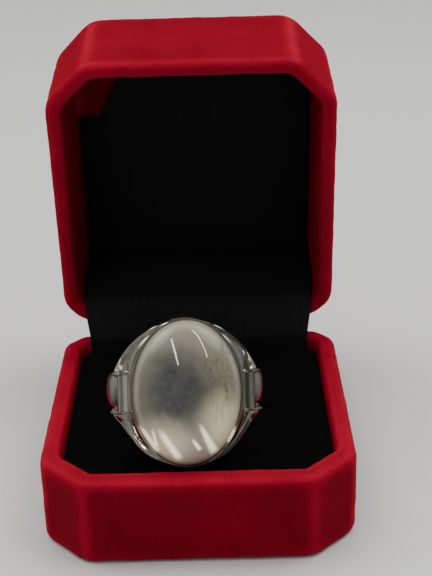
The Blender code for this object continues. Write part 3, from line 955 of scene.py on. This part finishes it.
# %% Shape the stone
stone = begin(
    "cabochon_stone", bpy.ops.mesh.primitive_uv_sphere_add, segments=112, ring_count=56, radius=1
)
bpy.ops.object.mode_set(mode="EDIT")
bpy.ops.mesh.select_all(action="SELECT")
bpy.ops.mesh.bisect(plane_co=(0, 0, 0), plane_no=(0, 0, 1), clear_inner=True)
pick("EDGE", lambda edge: edge.is_boundary)
bpy.ops.mesh.extrude_region_move(TRANSFORM_OT_translate={"value": (0, 0, (GAP / 2 - GIRDLE) / DOME)})
bpy.ops.mesh.extrude_region_move(TRANSFORM_OT_translate={"value": (0, 0, -GAP / 2 / DOME)})
bpy.ops.transform.resize(value=(0.98, 0.98, 1), center_override=(0, 0, 0))
bpy.ops.mesh.edge_face_add()
face_outwards()
bpy.ops.object.mode_set(mode="OBJECT")
stone.scale = (STONE_X, STONE_Y, DOME)
stone.location = (0, 0, STONE_FOOT + GIRDLE)
settle(stone)
bpy.ops.object.shade_smooth_by_angle(angle=math.radians(50))
lay_down(stone)
closed(stone)
print("model's stone", in_mm(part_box("cabochon")))

# %% [markdown]
# ### The head of the ring
#
# The head flares out from the finger hole, turns over at a thin winged edge, dips into a
# cove and climbs to the bezel's lip. All of it is one stack of loops: a filled circle
# is extruded again and again, and each new loop is put on its own oval and height. The
# wings sag to both sides like a saddle. How far they reach changes round the ring, so
# it is read from a short table, on a curve that never swings past the table's values.

# %% Ovals, and loops put on them
def oval(half_x, half_y, angle):
    """Distance from the middle to an oval's edge, in the direction of an angle."""
    return 1 / math.hypot(math.cos(angle) / half_x, math.sin(angle) / half_y)


def place_loop(shape):
    """Put the selected loop where shape(angle) says: its distance from the middle and its height."""
    mesh = bpy.context.object.data
    bm = bmesh.from_edit_mesh(mesh)
    for vertex in bm.verts:
        if vertex.select:
            angle = math.atan2(vertex.co.y, vertex.co.x)
            reach, z = shape(angle)
            vertex.co = (reach * math.cos(angle), reach * math.sin(angle), z)
    bmesh.update_edit_mesh(mesh)


# %% Read a table on a smooth curve
WING_TABLE = (
    # degrees above the ring's middle line: how far inside the oval the wing's edge is, and how
    # wide the slope beside the bezel is, in millimetres
    (-90, 0.00, 0.00), (-62, 0.00, 0.00), (-48, 0.25, 0.30), (-38, 0.60, 0.45), (-26, 0.50, 0.45),
    (-18, 0.00, 0.20), (0, 0.15, 0.10), (18, 0.30, 0.35), (30, 0.45, 0.85), (45, 0.50, 0.80),
    (62, 0.45, 0.10), (90, 0.50, 0.00),
)


def steepness(table, row, column):
    """How steeply a table's curve passes through a row: level at the ends and where it turns back."""
    if row in (0, len(table) - 1):
        return 0.0
    before, after = (
        (high[column] - low[column]) / (high[0] - low[0])
        for low, high in (table[row - 1:row + 1], table[row:row + 2])
    )
    return 2 * before * after / (before + after) if before * after > 0 else 0.0


def eased(table, key):
    """Values at key, on a smooth curve through a table's rows that never swings past them."""
    row = max(sum(1 for other in table[:-1] if other[0] <= key) - 1, 0)
    low, high = table[row:row + 2]
    width = high[0] - low[0]
    t = (key - low[0]) / width
    values = []
    for column in range(1, len(low)):
        leave = steepness(table, row, column) * width
        arrive = steepness(table, row + 1, column) * width
        values.append(
            (1 + 2 * t) * (1 - t) ** 2 * low[column] + t * (1 - t) ** 2 * leave
            + t * t * (3 - 2 * t) * high[column] + t * t * (t - 1) * arrive
        )
    return values


print("the wing's edge at 0 and 45 degrees:", eased(WING_TABLE, 0), eased(WING_TABLE, 45))

# %% The wing's sizes in each direction
LIP_WIDTH = 0.0003
FOOT_OUT = 0.00006
MERGE = 0.00015
COVE_DIP, DIP_ROOM = 0.0006, 0.0038
Wing = namedtuple("Wing", "outside edge room foot lip height dip")


def wing(angle):
    """Sizes of the head in one direction: bezel's outside, wing's edge, slope's foot, lip and height."""
    outside = oval(BEZEL_X, BEZEL_Y, angle) + BEZEL_WALL
    above = math.degrees(math.atan2(math.sin(angle), abs(math.cos(angle))))
    trim, roll = (value * 0.001 for value in eased(WING_TABLE, above))
    winged, hugging = oval(HEAD_X, HEAD_Y, angle) - trim, outside + FOOT_OUT
    edge = (winged + hugging + math.hypot(winged - hugging, MERGE)) / 2
    room = edge - outside
    foot = outside + min(roll, 0.55 * room)
    lip = max(edge - LIP_WIDTH, (edge + foot) / 2)
    height = WING_TOP - WING_SAG * (edge * math.cos(angle) / HEAD_X) ** 2
    return Wing(outside, edge, room, foot, lip, height, COVE_DIP * min(2 * room / DIP_ROOM, 1.0))


def on_wing(shape):
    """A loop that is worked out from the wing's sizes in each direction."""
    return lambda angle: shape(wing(angle))


print("wing at the side", in_mm([wing(0.0)], 2)[0], "and at the top", in_mm([wing(math.pi / 2)], 2)[0])

# %% The kinds of loop, from the foot up
SLOPE_LOW, SLOPE_TOP = 0.0004, 0.0003
BULGE_ROOM = 0.0005


def flank(share_x, share_y, share_z):
    """A loop of the flaring foot, as shares of the head's sizes."""
    return lambda angle: (oval(HEAD_X * share_x, HEAD_Y * share_y, angle), WING_TOP * share_z)


def rolled_edge(share, rise):
    """A loop of the wing's thin edge: this share of the way in to its lip, and this much higher."""
    return on_wing(lambda w: (w.edge - share * (w.edge - w.lip), w.height + rise))


def slope_foot(w):
    """Height at which the slope beside the bezel starts."""
    return BEZEL_TOP - SLOPE_LOW - 0.9 * (w.foot - w.outside)


def cove(share, climb, depth):
    """A loop between the lip and the slope: how far across, how far up, and how deep in the dip."""
    return on_wing(lambda w: (
        w.lip + (w.foot - w.lip) * share, w.height + (slope_foot(w) - w.height) * climb - w.dip * depth,
    ))


def slope(share, bulge):
    """A loop of the band that climbs from the cove to the bezel's lip."""
    return on_wing(lambda w: (
        w.foot + (w.outside + FOOT_OUT - w.foot) * share,
        slope_foot(w) + (BEZEL_TOP - SLOPE_TOP - slope_foot(w)) * share
        + bulge * min((w.foot - w.outside) / BULGE_ROOM, 1.0),
    ))


def bezel(grow, drop):
    """A loop of the bezel, this much outside the stone's oval and below the top."""
    return lambda angle: (oval(BEZEL_X, BEZEL_Y, angle) + grow, BEZEL_TOP - drop)


# %% Draw the head out, loop by loop
HEAD_START = 0.011
loops = [flank(0.930, 0.20, 0.09), flank(0.950, 0.33, 0.28), flank(0.960, 0.42, 0.40)]
loops += [flank(0.975, 0.60, 0.54), flank(0.985, 0.74, 0.66)]
loops += [rolled_edge(0.25, -0.00012), rolled_edge(0.0, -0.00004), rolled_edge(0.35, 0.00002)]
loops += [cove(0.0, 0.0, 0.15), cove(0.18, 0.0, 0.60), cove(0.40, 0.04, 0.90), cove(0.62, 0.22, 0.80)]
loops += [cove(0.82, 0.55, 0.50), cove(0.94, 0.85, 0.15)]
loops += [slope(0.0, 0.0), slope(0.15, 0.00005), slope(0.5, 0.00010), slope(0.85, 0.00005), slope(1.0, 0.0)]
loops += [bezel(0.00024, 0.00022), bezel(0.00022, 0.00008), bezel(0.00017, 0.00001), bezel(0.00012, 0.0)]
loops += [bezel(0.00007, 0.00004), bezel(0.00003, 0.00014), bezel(0.0, 0.0004), bezel(0.0, BEZEL_TOP - SEAT)]
head = begin("head", bpy.ops.mesh.primitive_circle_add, vertices=160, radius=HEAD_START, fill_type="NGON")
bpy.ops.object.mode_set(mode="EDIT")
bpy.ops.mesh.select_all(action="SELECT")
place_loop(loops[0])
for shape in loops[1:]:
    bpy.ops.mesh.extrude_region_move()
    place_loop(shape)
face_outwards()
bpy.ops.object.mode_set(mode="OBJECT")
closed(head)

# %% [markdown]
# ### The band
#
# The shank is a crowned band that swells into a thick pillow at each shoulder. Its
# section is a small loop of points, spun round the finger's axis. The spun ring then has
# its own width and height at every angle, read from a short table and eased in between.

# %% Spin the band
BAND_TABLE = (
    # angle from the lowest point, share of the way from shank to shoulder: height, width
    (0, 0.00, 0.00), (50, 0.03, 0.05), (75, 0.15, 0.30), (92, 0.32, 0.62), (107, 0.56, 0.90),
    (118, 0.83, 1.00), (129, 1.00, 1.00), (135, 0.98, 1.00), (143, 0.30, 1.00), (152, -0.12, 1.00),
    (180, -0.22, 1.00),
)
CROWN = (
    # share of the way from the middle to the edge, share of the crown's height there
    (0.0, 1.0), (0.2, 0.99), (0.4, 0.94), (0.58, 0.85), (0.74, 0.71), (0.87, 0.50), (0.95, 0.28), (1.0, 0.0),
)
SPIN_RADIUS = 10
section = [(-side, rise) for side, rise in reversed(CROWN)] + list(CROWN[1:])
section += [(1.0, -0.4), (0.97, -1.0), (-0.97, -1.0), (-1.0, -0.4)]
band = begin(
    "ring_silver", bpy.ops.mesh.primitive_circle_add, vertices=len(section), radius=1, fill_type="NOTHING"
)
for vertex, (side, rise) in zip(band.data.vertices, section):
    vertex.co = (0, side, -SPIN_RADIUS - rise)
bpy.ops.object.mode_set(mode="EDIT")
bpy.ops.mesh.select_all(action="SELECT")
bpy.ops.mesh.spin(steps=176, angle=math.tau, center=(0, 0, 0), axis=(0, 1, 0))
bpy.ops.mesh.select_all(action="SELECT")
bpy.ops.mesh.remove_doubles(threshold=0.001)
bpy.ops.object.mode_set(mode="OBJECT")
print("spun a section of", len(section), "points into", len(band.data.polygons), "faces")

# %% Give the band its width and height at every angle
SHANK_HEIGHT, SHOULDER_RISE = 0.0017, 0.0033
SHANK_WIDTH, SHOULDER_SPREAD = 0.0046, 0.0015
EDGE_SHARE, EDGE_GAIN = 0.66, 0.14
INSIDE_SPARE = 0.001
for vertex in band.data.vertices:
    x, side, z = vertex.co
    rise = math.hypot(x, z) - SPIN_RADIUS
    angle = math.atan2(x, -z)
    height_share, width_share = eased(BAND_TABLE, abs(math.degrees(angle)))
    crown = SHANK_HEIGHT + SHOULDER_RISE * height_share
    edge = crown * (EDGE_SHARE + EDGE_GAIN * max(height_share, 0))
    half = (SHANK_WIDTH + SHOULDER_SPREAD * width_share) / 2
    if rise >= 0:
        reach = FINGER + edge + (crown - edge) * rise
    else:
        reach = FINGER - INSIDE_SPARE + (edge + INSIDE_SPARE) * (1 + rise)
    vertex.co = (reach * math.sin(angle), half * side, -reach * math.cos(angle))
bpy.ops.object.mode_set(mode="EDIT")
face_outwards()
bpy.ops.object.mode_set(mode="OBJECT")
closed(band)

# %% [markdown]
# ### Panels and fins
#
# Beside the bezel each shoulder has a small framed panel with a raised ridge, and two
# thin fins close it off above and below. Each is a flat outline drawn out into a slab,
# with its edges rounded, and then soldered on: a Boolean union makes one solid of all.

# %% Outlines of a frame and a fin
FRAME = [
    # from the ring's middle: across and up, in millimetres
    (9.22, 8.18), (9.22, 11.75), (9.50, 11.75), (9.58, 11.30), (10.60, 10.95), (10.65, 11.70),
    (10.75, 11.78), (10.98, 11.72), (11.08, 11.60), (11.28, 10.70), (11.30, 8.18),
]
FIN = [
    (9.15, 6.87), (9.15, 12.42), (10.00, 12.48), (10.60, 12.00), (11.10, 11.70), (11.90, 10.75),
    (12.45, 10.10), (12.75, 9.60), (12.84, 9.20), (12.80, 8.40), (12.62, 7.40),
]
FRAME_SHY = 0.00006
FIN_IN, FIN_OUT = 0.00012, 0.00028
FIN_BEND = 10.6
FIN_SHORT, LOWER_FIN_MORE = 0.70, 0.15
TRIM_SOFT = 0.00005
half_strap = STRAP / 2


def soft_slab(name, outline, low, high):
    """A slab across the shoulder from an outline in millimetres, with its long edges rounded."""
    piece = slab(name, [(x * 0.001, z * 0.001) for x, z in outline], low, high, "Y")
    corner = math.radians(25)
    finish_with(piece, "BEVEL", width=TRIM_SOFT, segments=2, limit_method="ANGLE", angle_limit=corner)
    return piece


def shortened(x, share):
    """Pull a fin's outline in, past its bend, to this share."""
    return x if x < FIN_BEND else FIN_BEND + (x - FIN_BEND) * share


# %% Solder frames and fins on
trims = []
for side in (-1, 1):
    frame_outline = [(side * x, z) for x, z in FRAME]
    trims.append(soft_slab("frame", frame_outline, -half_strap + FRAME_SHY, half_strap - FRAME_SHY))
    for end, share in ((-1, FIN_SHORT + LOWER_FIN_MORE), (1, FIN_SHORT)):
        fin_outline = [(side * shortened(x, share), z) for x, z in FIN]
        faces = sorted((end * (half_strap - FIN_IN), end * (half_strap + FIN_OUT)))
        trims.append(soft_slab("fin", fin_outline, *faces))
for trim in [head] + trims:
    combine(band, trim, "UNION")
closed(band)

# %% Open the finger hole
bore = begin(
    "finger", bpy.ops.mesh.primitive_cylinder_add, vertices=176, radius=FINGER, depth=0.03,
    rotation=(math.pi / 2, 0, 0),
)
combine(band, bore, "DIFFERENCE")
dress(band, silver, sharp=32)
lay_down(band)
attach(band, "base")
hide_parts("ring_body")
closed(band)
print("model's ring", in_mm(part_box("ring_body")))

# %% [markdown]
# ## Finish: the milky stone
#
# The stone is an olive-grey, slightly cloudy quartz. A soft painted reflection of a dark
# shape darkens its middle. It is paler round the rim, painted paler and creamy in its lower
# half, partly its own tone and partly painted light, and crossed by fine fibres and veins
# at the right. The pattern is read in the stone's own coordinates: a Mapping node takes
# the ring's place and turns away, so that the oval runs from -1 to 1 both ways.

# %% Start the stone's material
stone_centre = RING_MIDDLE + Euler(RING_TURNS).to_matrix() @ Vector((0, 0, STONE_FOOT + GIRDLE))
milky, tree, shader = new_material(
    "cloudy_quartz", Roughness=0.05, IOR=1.54, Subsurface_Weight=0.25, Subsurface_Radius=(1.0, 0.95, 0.75),
    Subsurface_Scale=0.002, Coat_Weight=0.6, Coat_Roughness=0.02, Emission_Strength=1.0,
)
own = within(tree, object_place(tree), tuple(stone_centre), (STONE_X, STONE_Y, DOME), RING_TURNS)
flat_own = vectors(tree, "MULTIPLY", own, (1.0, 1.0, 0.0))
own_mm = vectors(tree, "MULTIPLY", own, (STONE_X * 1000, STONE_Y * 1000, 0.0))
print("material", milky.name, "centred at", in_mm([stone_centre], 2)[0])

# %% A soft patch
def blob(centre, size, hard=1.0, wobble=0.25, wobble_scale=2.2):
    """A soft-edged patch of the stone, 1 at its middle and 0 outside, with an uneven edge."""
    uneven = noise(tree, flat_own, wobble_scale, 3.0)["Color"]
    moved = vectors(tree, "MULTIPLY_ADD", uneven, (wobble, wobble, 0.0), flat_own)
    middle_place = (centre[0] + wobble / 2, centre[1] + wobble / 2, 0.0)
    far = vectors(tree, "LENGTH", within(tree, moved, middle_place, (*size, 1.0)))
    return fade(tree, far, 0.35 * hard, 1.0, 1.0, 0.0)


# %% The stone's tones, with a painted dark reflection and painted light below
rim_far = vectors(tree, "LENGTH", flat_own)
colour = ramp(tree, rim_far, (
    (0.0, (0.20, 0.195, 0.140)), (0.70, (0.20, 0.195, 0.140)), (0.86, (0.22, 0.215, 0.155)),
    (0.93, (0.38, 0.37, 0.275)), (0.965, (0.30, 0.29, 0.22)), (1.0, (0.18, 0.175, 0.13)),
))
cloudy = sums(tree, "MULTIPLY_ADD", noise(tree, own, 3.5, 6.0, 0.6)["Fac"], 1.2, -0.35, clamp=True)
colour = mix(tree, cloudy, colour, (0.25, 0.245, 0.180, 1.0))
# The lower half is painted paler: partly the stone's own creamy tone, partly painted light gathered low in
# the dome.
lower_tone_and_light = times(tree, blob((0.0, -0.95), (1.4, 0.95), 0.3, 0.2), 0.85)
colour = mix(tree, lower_tone_and_light, colour, (0.47, 0.46, 0.36, 1.0))
mottle = noise(tree, own, 8.0, 5.0, 0.6)["Fac"]
# The dark patch in the middle is a painted reflection of a dark shape in front of the dome, made patchy by
# the mottle.
uneven_dark_reflection = sums(tree, "MULTIPLY_ADD", mottle, 0.9, 0.48, clamp=True)
painted_dark_reflection = times(tree, blob((-0.21, 0.06), (0.84, 0.74), 0.9, 0.42, 1.8), uneven_dark_reflection)
colour = mix(tree, painted_dark_reflection, colour, (0.070, 0.070, 0.071, 1.0))
# Two pale patches low down: partly the stone's creamy tone, partly painted light gathered there.
for centre, size, cream_and_light in (
    ((0.62, -0.46), (0.55, 0.62), (0.98, 0.92, 0.61, 1.0)),
    ((-0.45, -0.68), (0.75, 0.52), (0.92, 0.89, 0.63, 1.0)),
):
    colour = mix(tree, times(tree, blob(centre, size, 0.1), 0.9), colour, cream_and_light)
print("tones made with", len(tree.nodes), "nodes")

# %% Fibres and veins at the right
grain_place = node(tree, "ShaderNodeMapping", {
    "Vector": flat_own, "Rotation": (0.0, 0.0, -0.22), "Scale": (16.0, 2.2, 1.0),
}).outputs["Vector"]
fibres = sums(tree, "MULTIPLY_ADD", noise(tree, grain_place, 1.0, 5.0, 0.65)["Fac"], 4.0, -2.0, clamp=True)
fibres = times(tree, fibres, blob((0.60, 0.25), (0.50, 0.95)), 0.75)
colour = mix(tree, fibres, colour, (0.13, 0.125, 0.085, 1.0))
bent = vectors(tree, "MULTIPLY_ADD", noise(tree, flat_own, 3.0, 3.0)["Color"], (0.5, 0.5, 0.0), flat_own)
cracks = node(tree, "ShaderNodeTexVoronoi", {"Vector": bent, "Scale": 4.5}, feature="DISTANCE_TO_EDGE")
veins = fade(tree, cracks.outputs["Distance"], 0.0, 0.06, 1.0, 0.0, "LINEAR")
veins = times(tree, veins, mottle, blob((0.55, 0.22), (0.45, 0.70)))
colour = mix(tree, veins, colour, (0.10, 0.10, 0.07, 1.0))
print("fibres and veins added, now", len(tree.nodes), "nodes")

# %% [markdown]
# ### Bright streaks in the stone
#
# The stone's lower half shows six bright streaks of light. Lamps could be set up for the
# dome to mirror, as two tubes are for its upper half. Here the streaks are drawn in the
# stone's own coordinates instead, and glow a little, so they stay where they are on the
# stone from wherever it is seen.

# %% A streak
def streak(start, end, wide, taper):
    """A bright streak across the stone between two points in millimetres, with soft edges.

    It keeps this half width at its end, and is narrower by the share of taper at its start.
    """
    across_x, across_y = end[0] - start[0], end[1] - start[1]
    size = (math.hypot(across_x, across_y), wide, 1.0)
    turn = (0.0, 0.0, math.atan2(across_y, across_x))
    parts = node(tree, "ShaderNodeSeparateXYZ", {0: within(tree, own_mm, (*start, 0.0), size, turn)}).outputs
    width = sums(tree, "MAXIMUM", sums(tree, "MULTIPLY_ADD", parts[0], taper, 1.0 - taper), 0.05)
    aside = sums(tree, "DIVIDE", sums(tree, "ABSOLUTE", parts[1]), width)
    return times(
        tree, fade(tree, aside, 0.1, 1.0, 1.0, 0.0), fade(tree, parts[0], 0.0, 0.4),
        fade(tree, parts[0], 0.80, 1.0, 1.0, 0.0),
    )


# %% Add the streaks and finish the stone
STREAKS = (
    # from and to, in millimetres from the stone's middle; half width; share of taper
    ((-8.0, -4.6), (-4.6, -9.5), 0.75, 0.3), ((-5.8, -5.2), (-4.9, -8.8), 0.40, 0.3),
    ((-5.0, -5.0), (-1.2, -10.8), 0.95, 0.3), ((1.5, -4.2), (4.4, -10.0), 1.15, 0.7),
    ((0.4, -6.9), (1.9, -9.1), 0.55, 0.3), ((7.7, -5.4), (6.3, -8.5), 0.45, 0.3),
)
bright = 0.0
for row in STREAKS:
    bright = sums(tree, "MAXIMUM", bright, streak(*row))
feed(tree, shader, {
    "Base Color": mix(tree, bright, colour, (0.95, 0.92, 0.74, 1.0)),
    "Emission Color": mix(tree, bright, (0.0, 0.0, 0.0, 1.0), (0.80, 0.76, 0.56, 1.0)),
})
stone.data.materials.clear()
stone.data.materials.append(milky)
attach(stone, "base")
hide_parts("cabochon")
print("stone finished with", len(tree.nodes), "nodes and", len(STREAKS), "streaks")

# %% [markdown]
# ## Floor, light and camera
#
# The box stands on a plain pale floor. Most of the light comes from a large soft panel
# overhead and a little behind, so the velvet's upper edges glow and its front falls
# into shade; a wide weak panel in front lifts the shade a little. Two thin tubes overhead
# are there to be mirrored in the stone as streaks. Soft glows all round give the silver
# something to mirror.

# %% The floor
floor = begin("floor", bpy.ops.mesh.primitive_plane_add, size=4.0, location=(0, 0, 0))
floor_paint, tree, shader = new_material("floor_paint", Roughness=0.7, Base_Color=(0.62, 0.61, 0.60, 1.0))
floor.data.materials.append(floor_paint)
floor.visible_glossy = False
floor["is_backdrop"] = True
print("floor in", floor_paint.name)

# %% The panels
AIM = Vector((0.0, 0.0, 0.02))


def panel(name, place, aim, size, power):
    """A rectangular soft light at place that points at aim."""
    data = bpy.data.lights.new(name, "AREA")
    data.shape = "RECTANGLE"
    data.size, data.size_y = size
    data.energy = power
    light = bpy.data.objects.new(name, data)
    bpy.context.scene.collection.objects.link(light)
    light.location = place
    light.rotation_euler = (aim - Vector(place)).to_track_quat("-Z", "Y").to_euler()
    print("light", name, "of", power, "W")
    return light


overhead = panel("overhead", (0.0, 0.16, 0.60), Vector((0.0, 0.02, 0.02)), (0.9, 0.5), 5.0)
front_fill = panel("front_fill", (0.0, -0.75, 0.35), AIM, (0.8, 0.4), 0.8)
for light in (overhead, front_fill):
    light.visible_glossy = False


# %% The tubes
TUBE_WIDTH = 0.020
TUBE_POWER = 0.5


def tube(name, start, end):
    """A thin light between two points, which the stone mirrors as a streak."""
    start, end = Vector(start), Vector(end)
    centre, along = (start + end) / 2, end - start
    light = panel(name, centre, AIM, (along.length, TUBE_WIDTH), TUBE_POWER)
    across = along.cross((AIM - centre).normalized()).normalized()
    back = along.normalized().cross(across)
    light.rotation_euler = Matrix((along.normalized(), across, back)).transposed().to_euler()


tube("left_tube", (-0.183, -0.09, 0.52), (-0.088, -0.53, 0.52))
tube("right_tube", (0.103, 0.088, 0.52), (0.41, -0.34, 0.52))

# %% The soft surroundings
GLOWS = (
    # direction, how far the glow reaches in radians, strength
    ((0.0, 0.10, 1.00), 1.0, 0.35), ((-0.63, 0.22, 0.74), 0.45, 2.2), ((0.63, 0.22, 0.74), 0.45, 2.0),
    ((-0.95, 0.50, 0.15), 0.70, 0.20), ((0.95, 0.50, 0.15), 0.70, 0.14), ((-0.75, -0.60, 0.30), 0.55, 0.28),
    ((0.0, -1.0, -0.15), 0.90, 0.18),
)
LEVEL_GLOW = 0.04
world = bpy.data.worlds.new("studio")
bpy.context.scene.world = world
world.use_nodes = True
around = world.node_tree
way = around.nodes.new("ShaderNodeTexCoord").outputs["Generated"]
strength = LEVEL_GLOW
for direction, wide, most in GLOWS:
    near = vectors(around, "DOT_PRODUCT", way, tuple(Vector(direction).normalized()))
    strength = sums(around, "ADD", fade(around, near, math.cos(wide), 1.0, 0.0, most), strength)
feed(around, around.nodes["Background"], {"Color": (1.0, 1.0, 1.0, 1.0), "Strength": strength})
print("surroundings with", len(GLOWS), "glows")

# %% The camera
PHOTO_HEIGHT, FOCAL_PIXELS = 576, 1250.4
SENSOR = 36
CAMERA_PLACE = Vector((0.004235, -0.192806, 0.124083))
pitch, yaw, roll = math.radians(24.4375), math.radians(-0.1843), math.radians(-1.549)
forward = Vector((math.sin(yaw) * math.cos(pitch), math.cos(yaw) * math.cos(pitch), -math.sin(pitch)))
right = Vector((math.cos(yaw), -math.sin(yaw), 0))
up = right.cross(forward)
right, up = right * math.cos(roll) + up * math.sin(roll), up * math.cos(roll) - right * math.sin(roll)
lens = bpy.data.cameras.new("camera")
lens.sensor_width = SENSOR
lens.lens = FOCAL_PIXELS * SENSOR / PHOTO_HEIGHT
camera = bpy.data.objects.new("camera", lens)
bpy.context.scene.collection.objects.link(camera)
turned = Matrix((right, up, -forward)).transposed().to_4x4()
camera.matrix_world = Matrix.Translation(CAMERA_PLACE) @ turned
bpy.context.scene.camera = camera
print("camera with a lens of", round(lens.lens, 1), "mm")

# %% [markdown]
# ## Done
#
# The visual model's size is written beside the measured model's, to compare the two.

# %% Write the sizes and finish
visual_bounds = [list(corner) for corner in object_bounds()]
print("visual box", in_mm(visual_bounds))
